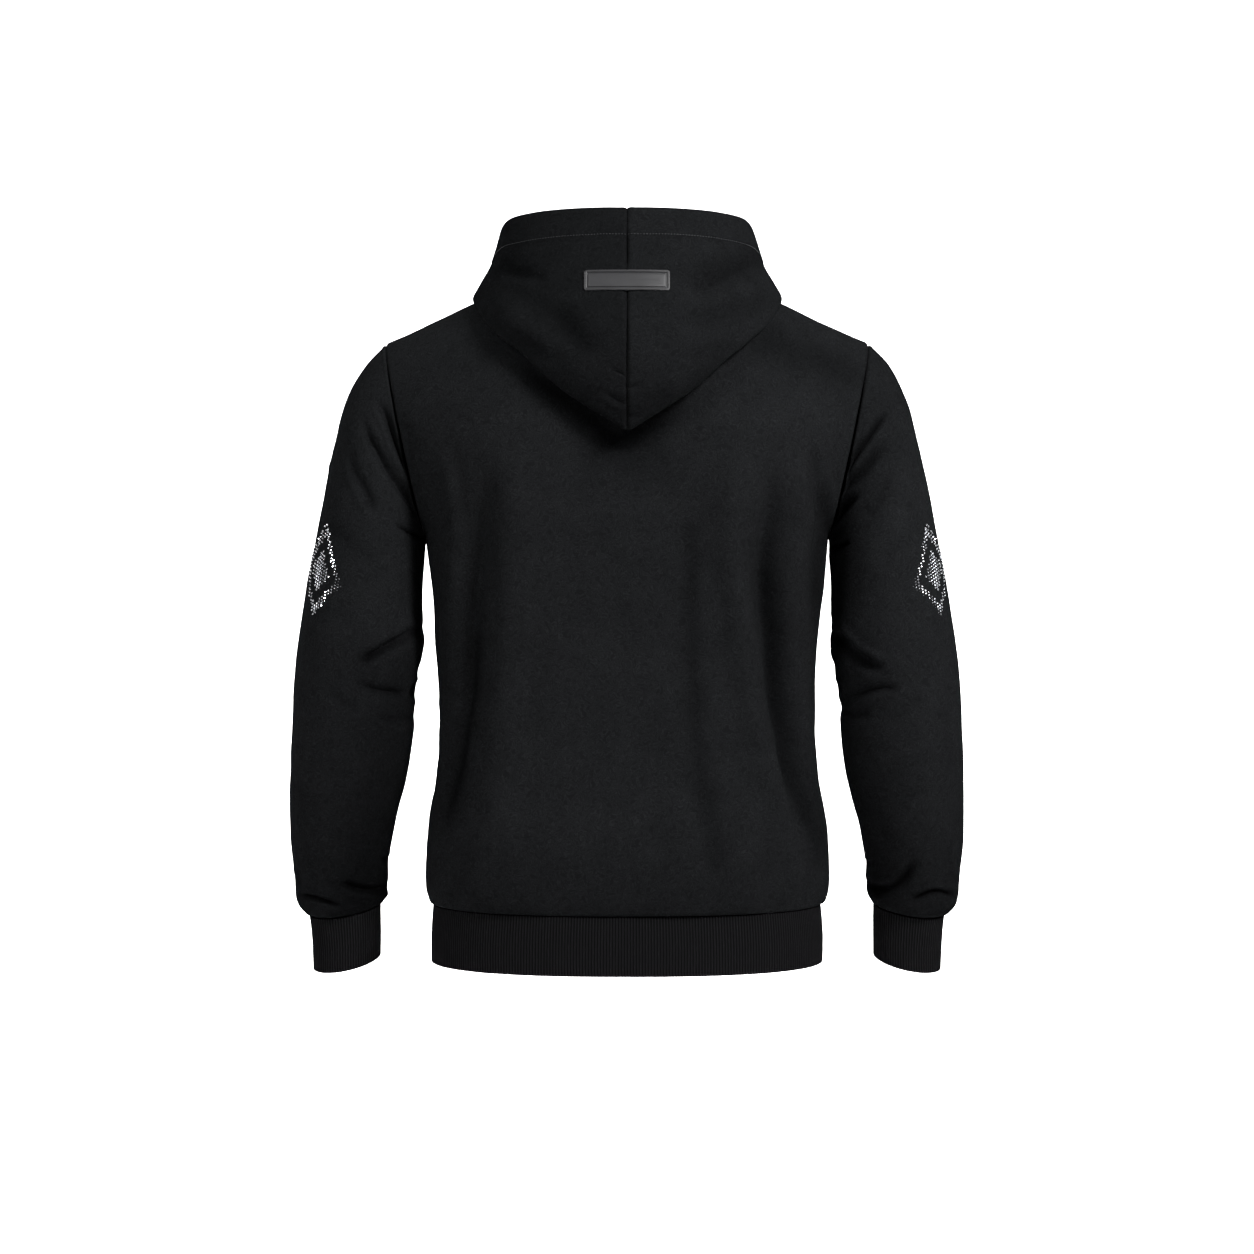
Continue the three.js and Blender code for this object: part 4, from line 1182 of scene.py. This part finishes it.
# ---- pieces ----
class HOODIE_OT_body(bpy.types.Operator):
    """Makes the back and front panels"""

    bl_idname = "hoodie.body"
    bl_label = "Body panels"

    def execute(self, context):
        self.panel("back", BACK_FOLDS)
        self.panel("front", FRONT_FOLDS)
        return {"FINISHED"}

    def panel(self, which, folds):
        sizes, _ = settings()
        cloth = sizes.cloth / MM
        rows, cols = ((216, 172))
        # u runs from one side seam to the other, and v up the panel
        u, v = np.meshgrid(
            2 * closer_at_ends(cols, 2 * PANEL_HALF_GIRTH, 5, 3) - 1,
            3 * closer_at_ends(rows, PANEL_LENGTH, 5, 3),
        )
        grid = swing_side_seams(body_surface(which, u, v))
        x, z = grid[..., 0], grid[..., 2]
        share = np.abs(u)
        at_side = np.minimum(*(np.linalg.norm(grid - grid[:, k : k + 1], axis=-1) for k in (0, cols)))
        at_top = np.linalg.norm(grid - grid[-1:], axis=-1)
        low = z - HEM_SEAM
        seam = np.minimum(at_side, low)
        seam = np.where(share > NECK_SHARE - 0.02, np.minimum(seam, at_top), seam)
        wobble = 4 * cloth_noise(grid, 60, 3) + 1.2 * cloth_noise(grid, 17, 4)
        depth = fold_field(x + wobble, z, folds, sizes.folds) * smooth(0, 9, at_side)
        # painted shade: on the front darker with the depth of its folds, on the back from its table
        painted_shade = 0.03 * np.maximum(depth, 0) if which == "front" else fold_field(x + wobble, z, BACK_PAINTED_SHADE)
        if which == "back":
            middle = np.clip(1 - (np.abs(x) / BETWEEN_BLADES.half_width) ** 2.2, 0, 1) ** 1.3
            depth += BETWEEN_BLADES.deep * middle * smooth(-110, -240, z) * smooth(-640, -500, z)
            for side in (-1, 1):
                across = (x - side * BLADES.x) / BLADES.half_width
                up = (z - BLADES.z) / BLADES.half_height
                depth -= BLADES.fullness * np.exp(-(across**2 + up**2))
        # soft unevenness all over
        depth += 1.5 * cloth_noise(grid, 62, 11) + 0.45 * cloth_noise(grid, 24, 12)
        # the cloth is gathered a little where it is sewn to the hem
        pucker = cloth_noise(np.stack([x / 7, x * 0 + 3, z / 60], -1), 1, 21)
        depth += 0.9 * pucker * np.exp(-low / 13)
        # and puckers along the side seams and armholes
        wave = cloth_noise(np.stack([z / 10, z * 0, z * 0 + (u > 0) * 7], -1), 1, 22)
        depth += 0.5 * wave * np.exp(-at_side / 8)
        depth = depth * smooth(0, 5, seam) + seam_groove(seam)
        pushed = push_in(grid, depth, False, which == "front")
        # the seams' edges stay in their planes, so that neighbours still meet
        for k in (0, -1):
            pushed[:, k, 1] = np.where(v[:, k] <= 1, grid[:, k, 1], pushed[:, k, 1])
        pushed[-1, :, 1] = np.where(share[-1] >= NECK_SHARE, grid[-1, :, 1], pushed[-1, :, 1])
        grid = pushed

        def trim(n):
            n[0, :, 2] = 0
            on_side = v[:, 0] <= 1
            n[on_side, 0, 1] = 0
            n[on_side, -1, 1] = 0
            n[-1, share[-1] >= NECK_SHARE, 1] = 0

        obj = shell(which + "_cloth", grid, cloth, seam_thinness(seam), trim, painted_shade, flip=which == "front")
        rides(obj, "fleece", which + "_panel")


def seam_groove(distance):
    """The cloth turns in at a seam, with a soft shoulder beside it."""
    return 2.0 * np.exp(-((distance / 1.7) ** 2)) - 0.4 * np.exp(-(((distance - 4.0) / 2.2) ** 2))


def seam_thinness(distance):
    return 1 - 0.45 * np.exp(-((distance / 1.2) ** 2))


def swing_side_seams(grid):
    """Moves the side seams as a worn body does, to the back and a little inwards over a stretch of each."""
    moved = grid.copy()
    for swing in SEAM_SWING:
        edge = grid[:, -1 if swing.side > 0 else 0]
        amount = np.exp(-2 * ((grid[..., 2] - swing.z) / swing.reach) ** 2)
        near = np.exp(-((np.linalg.norm(grid - edge[:, None], axis=-1) / 15) ** 2))
        moved[..., 0] -= swing.side * swing.inwards * amount * near
        moved[..., 1] += swing.back * amount * near
    return moved


class HOODIE_OT_sleeves(bpy.types.Operator):
    """Makes both sleeves"""

    bl_idname = "hoodie.sleeves"
    bl_label = "Sleeves"

    def execute(self, context):
        for side in ("left", "right"):
            self.sleeve(side)
        return {"FINISHED"}

    def sleeve(self, side):
        sizes, _ = settings()
        cloth = sizes.cloth / MM
        rows, cols = ((200, 140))
        ring = SLEEVE_END * closer_at_ends(rows, SLEEVE_LENGTH, 5, 3)
        turn, ring = np.meshgrid(np.arange(cols) * 360 / cols, ring)
        grid = sleeve_folded(ring, turn, cloth, side, sizes.folds)
        seam = np.minimum(*(np.linalg.norm(grid - grid[k], axis=-1) for k in (0, -1)))
        # the last ring is cut square to the sleeve
        end = grid[-1]
        axis = np.cross(end[0] - end[cols // 2], end[cols // 4] - end[3 * cols // 4])
        axis /= np.linalg.norm(axis)

        def trim(n):
            n[-1] -= (n[-1] @ axis)[:, None] * axis

        obj = shell(
            "sleeve_cloth_" + side,
            grid,
            cloth,
            seam_thinness(seam),
            trim,
            self.painted_shade(side, grid, turn, ring),
            closed=True,
            mirror=side == "right",
        )
        rides(obj, "fleece", "sleeve_" + side)

    def painted_shade(self, side, grid, turn, ring):
        """Painted shade in the folds, towards the cuff, on the side of the arm that is next to the body and
        near the top of the right sleeve.
        """
        x, z = grid[..., 0], grid[..., 2]
        a = np.radians(turn)
        back = smooth(-0.3, 0.1, np.sin(a))
        folds = np.where(
            back > 0.5, fold_field(x, z, SLEEVE_BACK_FOLDS[side]), fold_field(x, z, SLEEVE_FRONT_FOLDS)
        )
        inner = smooth(0.45, -0.5, np.cos(a)) * smooth(5.0, 6.5, ring)
        return (
            0.075 * np.clip(folds, 0, 6)
            + 0.36 * smooth(7.0, 12.5, ring)
            + SLEEVE_PAINTED_SHADE[side].inner * inner
            + SLEEVE_PAINTED_SHADE[side].top * smooth(4.0, 1.0, ring)
        )


def sleeve_folded(ring, turn, cloth, side, factor):
    """Middle of a sleeve's cloth with its folds, as on the left side."""
    grid = sleeve_surface(ring, turn, cloth)
    seed = 31 if side == "left" else 57
    x, z = grid[..., 0], grid[..., 2]
    a = np.radians(turn)
    moved = 0 if side == "left" else 4
    wobble = 1.6 * cloth_noise(grid, 40, seed)
    depth = SLEEVE_BACK_DEEPER * fold_field(x + wobble, z, SLEEVE_BACK_FOLDS[side], factor)
    depth *= smooth(-0.3, 0.1, np.sin(a))
    front = fold_field(x + moved + wobble, z - moved, SLEEVE_FRONT_FOLDS, factor)
    depth += front * smooth(0.25, -0.15, np.sin(a))
    depth += 1.2 * cloth_noise(grid, 44, seed + 1) + 0.4 * cloth_noise(grid, 19, seed + 2)
    # a pressed crease down the outside, a little to the back
    crease = (np.mod(turn - 34 + 180, 360) - 180) / 360 * SLEEVE_GIRTH
    depth -= 0.9 * np.exp(-((crease / 2.2) ** 2)) * (smooth(2.6, 3.4, ring) * smooth(9.5, 8, ring))
    # the seam under the arm
    under = (np.mod(turn - 196 + 180, 360) - 180) / 360 * SLEEVE_GIRTH
    depth += 1.0 * np.exp(-((under / 1.6) ** 2))
    # gathers above the cuff and ease at the armhole
    low = (SLEEVE_END - ring) * 20
    gather = cloth_noise(np.stack([np.cos(a) * 4.2, np.sin(a) * 4.2, low / 60], -1), 1, seed + 3)
    depth += 1.3 * gather * np.exp(-low / 20)
    top = ring * RING_STEP
    ease = cloth_noise(np.stack([np.cos(a) * 4, np.sin(a) * 4, top / 90], -1), 1, seed + 4)
    depth += 0.6 * ease * np.exp(-top / 12)
    seam = np.minimum(top, (SLEEVE_END - ring) * 17)
    depth = depth * smooth(0, 7, seam) + seam_groove(seam)
    return push_in(grid, depth, True, False)


def band_steps(length):
    """Steps down a rib band, closer at its seam and at its turned edge."""
    top = [0, 0.4, 1.1, 2.2, 8]
    middle = [share * length for share in (0.3, 0.55, 0.8)]
    bottom = [length - up for up in (5, 2.8, 1.6, 0.8, 0.25, 0)]
    return np.array(top + middle + bottom) / length


class HOODIE_OT_ribs(bpy.types.Operator):
    """Makes the ribbed hem band and cuffs"""

    bl_idname = "hoodie.ribs"
    bl_label = "Hem band and cuffs"

    def execute(self, context):
        sizes, _ = settings()
        tree = rib_relief_tree()
        self.hem(sizes, tree)
        for side in ("left", "right"):
            self.cuff(sizes, tree, side)
        return {"FINISHED"}

    def band(self, name, grid, turn, ribs, sizes, tree, mirror=False):
        """A plain tube of doubled knit, whose outside the tree then ribs."""
        rows, cols = grid.shape[:2]
        n = normals(grid, True)
        n[..., 2] *= 0.3
        n /= np.linalg.norm(n, axis=-1, keepdims=True)
        down = np.linspace(0, 1, rows)[:, None]
        # rounded where it turns under at its free edge
        thick = RIB.thick * (1 - 0.75 * smooth(0.955, 1.0, down) ** 2) * (1 - 0.35 * smooth(0.03, 0.0, down))
        outer = grid + n * thick[..., None] / 2
        inner = grid - n * thick[..., None] / 2
        points = np.concatenate([outer.reshape(-1, 3), inner.reshape(-1, 3)])
        faces = wall_faces(rows, cols, True)
        outward = np.concatenate([n.reshape(-1, 3)] * 2)
        if mirror:
            points, outward, faces = mirror_points(points), mirror_points(outward), faces[:, ::-1]
        obj = new_object(name + "_plain", points, faces, rib())
        around = np.tile(np.broadcast_to(turn / 360, (rows, cols)).ravel(), 2)
        # ribs fade into the seam and the turned edge
        reach = smooth(0, 0.02, down) * (0.35 + 0.65 * smooth(1.0, 0.94, down))
        outside = np.concatenate([np.broadcast_to(reach, (rows, cols)).ravel(), np.zeros(rows * cols)])
        for label, kind, key, values in (
            ("around", "FLOAT", "value", around),
            ("outside", "FLOAT", "value", outside),
            ("out", "FLOAT_VECTOR", "vector", outward.ravel()),
        ):
            obj.data.attributes.new(label, kind, "POINT").data.foreach_set(key, values)
        done = applied(obj, tree, {"Ribs": ribs, "Height": sizes.rib_height, "Material": rib()}, name)
        done.data.set_sharp_from_angle(angle=math.radians(70))
        return done

    def hem(self, sizes, tree):
        ribs = sizes.hem_ribs
        cols = ribs * RIB.hem_points
        turn = np.arange(cols) * 360 / cols
        down = band_steps(RIB.hem_depth)[:, None]
        oval = 2 / ROUNDNESS
        bottom = BODY(HEM_SEAM)
        back, front = bottom.back - SEAM_PLANE, bottom.front + SEAM_PLANE
        # even steps round the band, so that the ribs are even too
        fine = np.linspace(0, 360, 5761)
        fs, fc = (np.sign(w) * np.abs(w) ** oval for w in (np.sin(np.radians(fine)), np.cos(np.radians(fine))))
        fx, fy = bottom.side * fc, np.where(fs > 0, back, front) * fs
        length = np.concatenate([[0], np.cumsum(np.hypot(np.diff(fx), np.diff(fy)))])
        even = np.arange(cols) / cols * length[-1]
        px, py = np.interp(even, length, fx), np.interp(even, length, fy)
        wave = cloth_noise(np.stack([px / 40, py / 40, px * 0], -1), 1, 71)
        inset = mix(3.5, 1.5, down) - 1.2 * np.sin(np.pi * down) - 0.6 * wave * np.sin(np.pi * down)
        r = np.hypot(px, py)
        grid = np.stack(
            [
                px * (1 - inset / r),
                SEAM_PLANE + py * (1 - inset / r),
                mix(HEM_SEAM - CLOSE, HEM_EDGE, down) + np.zeros(cols),
            ],
            axis=-1,
        )
        done = self.band("hem_rib", grid, turn, ribs, sizes, tree)
        rides(done, "rib_knit", "hem_band")

    def cuff(self, sizes, tree, side):
        cols = sizes.cuff_ribs * RIB.cuff_points
        turn = np.arange(cols) * 360 / cols
        down = band_steps(RIB.cuff_depth)
        turns, at = np.meshgrid(turn, down * (len(CUFF.at) - 1))
        grid = ring_surface(CUFF, at, turns)
        seed = 81 if side == "left" else 84
        a = np.radians(turns)
        dent = cloth_noise(np.stack([np.cos(a) * 1.6, np.sin(a) * 1.6, at * 0.8], -1), 1, seed)
        grid = push_in(grid, 1.1 * dent * np.sin(np.pi * at / 2), True, False)
        done = self.band("cuff_rib_" + side, grid, turn, sizes.cuff_ribs, sizes, tree, side == "right")
        rides(done, "rib_knit", "cuff_" + side)


class HOODIE_OT_hood(bpy.types.Operator):
    """Makes both halves of the hood, with their turned and stitched edge"""

    bl_idname = "hoodie.hood"
    bl_label = "Hood"

    def execute(self, context):
        sizes, _ = settings()
        hood = Hood(sizes.cloth / MM)
        for side in ("left", "right"):
            self.half(side, hood, sizes)
        return {"FINISHED"}

    def half(self, side, hood, sizes):
        cloth = sizes.cloth / MM
        rows, cols = ((180, 118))
        turns, shares = np.meshgrid(
            180 * closer_at_ends(cols, HOOD_LENGTH, 6, 3), closer_at_ends(rows, HOOD_LENGTH, 4, 3)
        )
        length = hood.length(turns)
        down = shares * length
        grid = hood.surface(turns, shares)
        grid = push_in(grid, hood_depth(grid, turns, down, side, sizes.folds), False, True)
        # both halves meet edge to edge
        grid[:, 0, 0] = grid[:, -1, 0] = 0.0
        seam = np.minimum(*(np.linalg.norm(grid - grid[:, k : k + 1], axis=-1) for k in (0, cols)))

        def trim(n):
            n[:, 0, 0] = 0
            n[:, -1, 0] = 0

        # painted shade along the hood's creases and near its lower point, and over the whole half as well
        painted_shade = fold_field(grid[..., 0], grid[..., 2], HOOD_PAINTED_SHADE[side]) * smooth(0.6, 0.5, shares)
        obj = shell(
            "hood_cloth_" + side,
            grid,
            cloth,
            seam_thinness(seam),
            trim,
            HOOD_PAINTED_SHADE_ALL_OVER[side] + painted_shade,
            flip=True,
            raised=casing_raise(down, length),
            mirror=side == "right",
        )
        rides(obj, "fleece", "hood_" + side)


def casing_raise(down, length):
    """The hood's edge is turned in twice and sewn: thicker down to the stitching, which sinks in."""
    width = np.minimum(CASING.width, length * 0.5)
    raised = CASING.raised * smooth(width + 0.7, width - 0.7, down)
    raised -= 0.55 * np.exp(-(((down - width + CASING.stitch_in) / 1.2) ** 2))
    # and rounded over at the rim
    return raised - 0.7 * np.exp(-((down / 1.4) ** 2)) - 0.25 * np.exp(-(((down - width - 1.6) / 1.4) ** 2))


def hood_depth(grid, turn, down, side, factor):
    """How far in the hood's cloth goes: its folds, the pull of its centre seam, and soft unevenness."""
    x, z = grid[..., 0], grid[..., 2]
    outside = smooth(0.6, 0.5, down / HOOD_LENGTH) * smooth(112, 84, turn)
    depth = fold_field(x, z, HOOD_FOLDS[side], factor) * outside
    seed = 91 if side == "left" else 95
    depth += (1.3 * cloth_noise(grid, 50, seed) + 0.4 * cloth_noise(grid, 20, seed + 1)) * smooth(0, 12, down)
    # the cloth lies flat under the patch
    flat = smooth(LABEL.width / 2 + 3, LABEL.width / 2 + 20, x)
    flat = np.maximum(flat, smooth(LABEL.height / 2 + 3, LABEL.height / 2 + 18, np.abs(down - LABEL.down)))
    flat = np.where(turn < 90, flat, 1)
    # the centre seam draws the cloth in, with slight puckers beside it
    at_seam = np.abs(x)
    pucker = cloth_noise(np.stack([down / 12, down * 0, down * 0], -1), 1, seed + 2)
    depth += 0.6 * pucker * np.exp(-at_seam / 7)
    return depth * flat * smooth(0, 3.5, at_seam) + seam_groove(at_seam) * np.where(flat > 0.01, 1, 0.4)


class HOODIE_OT_patch(bpy.types.Operator):
    """Makes the plain patch on the hood"""

    bl_idname = "hoodie.patch"
    bl_label = "Patch"

    # inset from the patch's edge, and height over its back, in millimetres
    PROFILE = [
        (0.0, 0.0),
        (0.0, 1.1),
        (0.25, 1.55),
        (0.7, 1.75),
        (1.6, 1.75),
        (2.1, 1.6),
        (2.4, 1.25),
        (2.7, 1.1),
        (2.95, 0.55),
        (3.5, 0.55),
        (3.75, 1.1),
        (4.4, 1.25),
        (6.5, 1.25),
        (8.6, 1.25),
        (10.6, 1.25),
    ]

    def execute(self, context):
        sizes, colours = settings()
        cloth = sizes.cloth / MM
        hood = Hood(cloth)
        around = 240  # points round each ring of the profile
        points, faces = [], []
        for inset, high in self.PROFILE:
            x, drop = self.outline(inset, around)
            # it bridges the slight valley at the hood's centre seam
            across = np.hypot(x, LABEL.valley)
            here, normal = hood.at_x(across, LABEL.down + LABEL.lower + drop)
            here[..., 0] = x
            normal[..., 0] *= x / across
            points.append(here + normal * (cloth / 2 + SEAM_GAP + high))
        for k in range(len(self.PROFILE) - 1):
            for j in range(around):
                n = (j + 1) % around
                faces.append((k * around + j, k * around + n, (k + 1) * around + n, (k + 1) * around + j))
        last = (len(self.PROFILE) - 1) * around
        # the narrow slot that is left in the middle is closed, and so is the back
        faces.append(tuple(last + j for j in range(around)))
        faces.append(tuple(reversed(range(around))))
        material = material_once("moulded rubber", moulded_patch, colours.patch)
        obj = new_object("hood_patch", np.concatenate(points), faces, material)
        obj.data.set_sharp_from_angle(angle=math.radians(60))
        rides(obj, "patch", "hood_label")
        return {"FINISHED"}

    def outline(self, inset, count):
        """A rectangle with round corners, as seen square on: x across and the drop below its middle."""
        w, h = LABEL.width / 2 - inset, LABEL.height / 2 - inset
        r = max(LABEL.corner - inset, 0.12)
        w, h = max(w, r), max(h, r)
        on_end, on_arc = 8, 12
        on_side = count // 4 - on_end - on_arc
        arc = np.linspace(0, np.pi / 2, on_arc, endpoint=False)
        xs, ys = [], []
        # each quarter: half of an end, a corner and half of a side
        for sx, sy, swap in ((1, 1, False), (-1, 1, True), (-1, -1, False), (1, -1, True)):
            qx = np.concatenate(
                [
                    np.full(on_end, w),
                    w - r + r * np.cos(arc),
                    np.linspace(w - r, 0, on_side, endpoint=False),
                ]
            )
            qy = np.concatenate(
                [
                    np.linspace(0, h - r, on_end, endpoint=False),
                    h - r + r * np.sin(arc),
                    np.full(on_side, h),
                ]
            )
            if swap:
                # the same quarter, walked the other way
                qx = np.concatenate([[0.0], qx[:0:-1]])
                qy = np.concatenate([[h], qy[:0:-1]])
            xs.append(sx * qx)
            ys.append(sy * qy)
        return np.concatenate(xs), np.concatenate(ys)


class HOODIE_OT_sewing(bpy.types.Operator):
    """Sews the hood's turned edge"""

    bl_idname = "hoodie.sewing"
    bl_label = "Topstitching"

    LENGTH_SHARE = 0.55  # of a stitch that shows, in its pitch
    THICKNESS = 0.0006
    PROUD = 0.3  # how far a stitch's middle stands off the cloth, in millimetres

    def execute(self, context):
        sizes, colours = settings()
        cloth = sizes.cloth / MM
        hood = Hood(cloth)
        thread = material_once("polyester thread", polyester_thread, colours.thread)
        tree = stitch_tree()
        for side in ("left", "right"):
            turn = np.linspace(0.4, 178, 240)
            length = hood.length(turn)
            down = np.minimum(CASING.width, length * 0.5) - CASING.stitch_in
            step = np.stack([down - 1, down, down + 1])
            turns = np.stack([turn] * 3)
            grid = hood.surface(turns, step / length)
            grid = push_in(grid, hood_depth(grid, turns, step, side, sizes.folds), False, True)
            off = cloth / 2 + casing_raise(down, length) + self.PROUD
            line = grid[1] - normals(grid, False)[1] * off[:, None]
            if side == "right":
                line = mirror_points(line)
            mesh = bpy.data.meshes.new("row")
            mesh.from_pydata((line * MM).tolist(), [(k, k + 1) for k in range(len(line) - 1)], [])
            row = bpy.data.objects.new("row", mesh)
            context.scene.collection.objects.link(row)
            values = {
                "Pitch": sizes.stitch,
                "Length": sizes.stitch * self.LENGTH_SHARE,
                "Thickness": self.THICKNESS,
                "Material": thread,
            }
            done = applied(row, tree, values, "casing_stitches_" + side)
            rides(done, "fleece")
        return {"FINISHED"}


class HOODIE_OT_stones(bpy.types.Operator):
    """Sets a lozenge of small stones on each sleeve"""

    bl_idname = "hoodie.stones"
    bl_label = "Sleeve stones"

    STONE_HEIGHT = 0.0009

    def execute(self, context):
        sizes, colours = settings()
        cloth = sizes.cloth / MM
        stones = material_once("foil-backed crystal", crystal, colours.stone)
        tree = stone_tree()
        u, v = self.lozenges()
        for side in ("left", "right"):
            turn = STONES.turn + u / (SLEEVE_GIRTH * STONES.girth) * 360
            ring = STONES.ring + v / STONES.ring_length
            turns = np.stack([turn - 0.6, turn, turn + 0.6], -1)
            # three rings and three turns about each stone give the way the cloth faces there
            rings = (np.stack([ring + step] * 3, -1) for step in (-0.02, 0, 0.02))
            grid = np.stack([sleeve_folded(r, turns, cloth, side, sizes.folds) for r in rings])
            along = grid[2, :, 1] - grid[0, :, 1]
            across = grid[1, :, 2] - grid[1, :, 0]
            out = np.cross(along, across)
            out /= np.linalg.norm(out, axis=-1, keepdims=True)
            place = grid[1, :, 1] + out * (cloth / 2)
            if side == "right":
                place, out = mirror_points(place), mirror_points(out)
            mesh = bpy.data.meshes.new("places")
            mesh.from_pydata((place * MM).tolist(), [], [])
            mesh.attributes.new("out", "FLOAT_VECTOR", "POINT").data.foreach_set("vector", out.ravel())
            points = bpy.data.objects.new("places", mesh)
            context.scene.collection.objects.link(points)
            values = {"Size": sizes.stone, "Height": self.STONE_HEIGHT, "Material": stones}
            done = applied(points, tree, values, "sleeve_stones_" + side)
            rides(done, "patch")
        return {"FINISHED"}

    def lozenges(self):
        """Places of the stones: a solid lozenge inside the outline of a larger one, with a gap between."""
        u, v = [], []
        for k in range(-12, 13):
            for m in range(-18, 19):
                x, y = k * STONES.pitch, m * STONES.pitch
                size = abs(x) / (STONES.width / 2) + abs(y) / (STONES.height / 2)
                if size < 0.48 or 0.74 < size < 1.01:
                    u.append(x)
                    v.append(y)
        return np.array(u), np.array(v)


class HOODIE_OT_stage(bpy.types.Operator):
    """Sets up the backdrop, lights and camera"""

    bl_idname = "hoodie.stage"
    bl_label = "Stage"

    def execute(self, context):
        _, colours = settings()
        scene = context.scene
        paper = material_once("studio paper", paper_backdrop, colours.backdrop)
        # a sheet of paper that runs over the floor and curves up behind
        profile = [(PAPER.near, PAPER.floor), (PAPER.far, PAPER.floor)]
        for a in np.linspace(0, math.pi / 2, 14)[1:]:
            profile.append(
                (PAPER.far - PAPER.bend * math.sin(a), PAPER.floor + PAPER.bend - PAPER.bend * math.cos(a))
            )
        profile.append((PAPER.far - PAPER.bend, PAPER.top))
        points = [(x, y, z) for y, z in profile for x in (-PAPER.half_width, PAPER.half_width)]
        faces = [(2 * k, 2 * k + 1, 2 * k + 3, 2 * k + 2) for k in range(len(profile) - 1)]
        new_object("backdrop", np.array(points) / MM, faces, paper)

        world = bpy.data.worlds.new("studio")
        scene.world = world
        world.use_nodes = True
        background = world.node_tree.nodes["Background"]
        background.inputs["Color"].default_value = (1.0, 1.0, 1.0, 1.0)
        background.inputs["Strength"].default_value = WORLD_LIGHT
        for light in LIGHTS:
            data = bpy.data.lights.new(light.name, "AREA")
            data.energy = light.power
            data.size = light.size
            data.spread = math.radians(light.spread)
            lamp = bpy.data.objects.new(light.name, data)
            lamp.location = light.place
            aim = Vector(light.target) - Vector(light.place)
            lamp.rotation_euler = aim.to_track_quat("-Z", "Y").to_euler()
            scene.collection.objects.link(lamp)

        data = bpy.data.cameras.new("camera")
        data.lens = CAMERA.lens
        data.sensor_width = CAMERA.sensor
        data.clip_end = 50.0
        camera = bpy.data.objects.new("camera", data)
        camera.location = CAMERA.place
        camera.rotation_euler = (math.radians(90), 0, math.radians(180))
        scene.collection.objects.link(camera)
        scene.camera = camera
        scene.view_settings.view_transform = "Standard"
        return {"FINISHED"}


class HOODIE_PT_panel(bpy.types.Panel):
    """Lists the pieces and their sizes"""

    bl_idname = "HOODIE_PT_panel"
    bl_label = "Hoodie"
    bl_space_type = "VIEW_3D"
    bl_region_type = "UI"
    bl_category = "Hoodie"

    def draw(self, context):
        for group in (context.scene.hoodie_sizes, context.scene.hoodie_colours):
            box = self.layout.box()
            for name in group.__annotations__:
                box.prop(group, name)
        for operator in OPERATORS:
            self.layout.operator(operator.bl_idname)


OPERATORS = (
    HOODIE_OT_body,
    HOODIE_OT_sleeves,
    HOODIE_OT_ribs,
    HOODIE_OT_hood,
    HOODIE_OT_patch,
    HOODIE_OT_sewing,
    HOODIE_OT_stones,
    HOODIE_OT_stage,
)
CLASSES = (HoodieSizes, HoodieColours, *OPERATORS, HOODIE_PT_panel)


def register():
    for cls in CLASSES:
        bpy.utils.register_class(cls)
    bpy.types.Scene.hoodie_sizes = PointerProperty(type=HoodieSizes)
    bpy.types.Scene.hoodie_colours = PointerProperty(type=HoodieColours)


def unregister():
    del bpy.types.Scene.hoodie_sizes
    del bpy.types.Scene.hoodie_colours
    for cls in reversed(CLASSES):
        bpy.utils.unregister_class(cls)


def main():
    register()
    for operator in OPERATORS:
        group, name = operator.bl_idname.split(".")
        getattr(getattr(bpy.ops, group), name)()


if __name__ == "__main__":
    main()
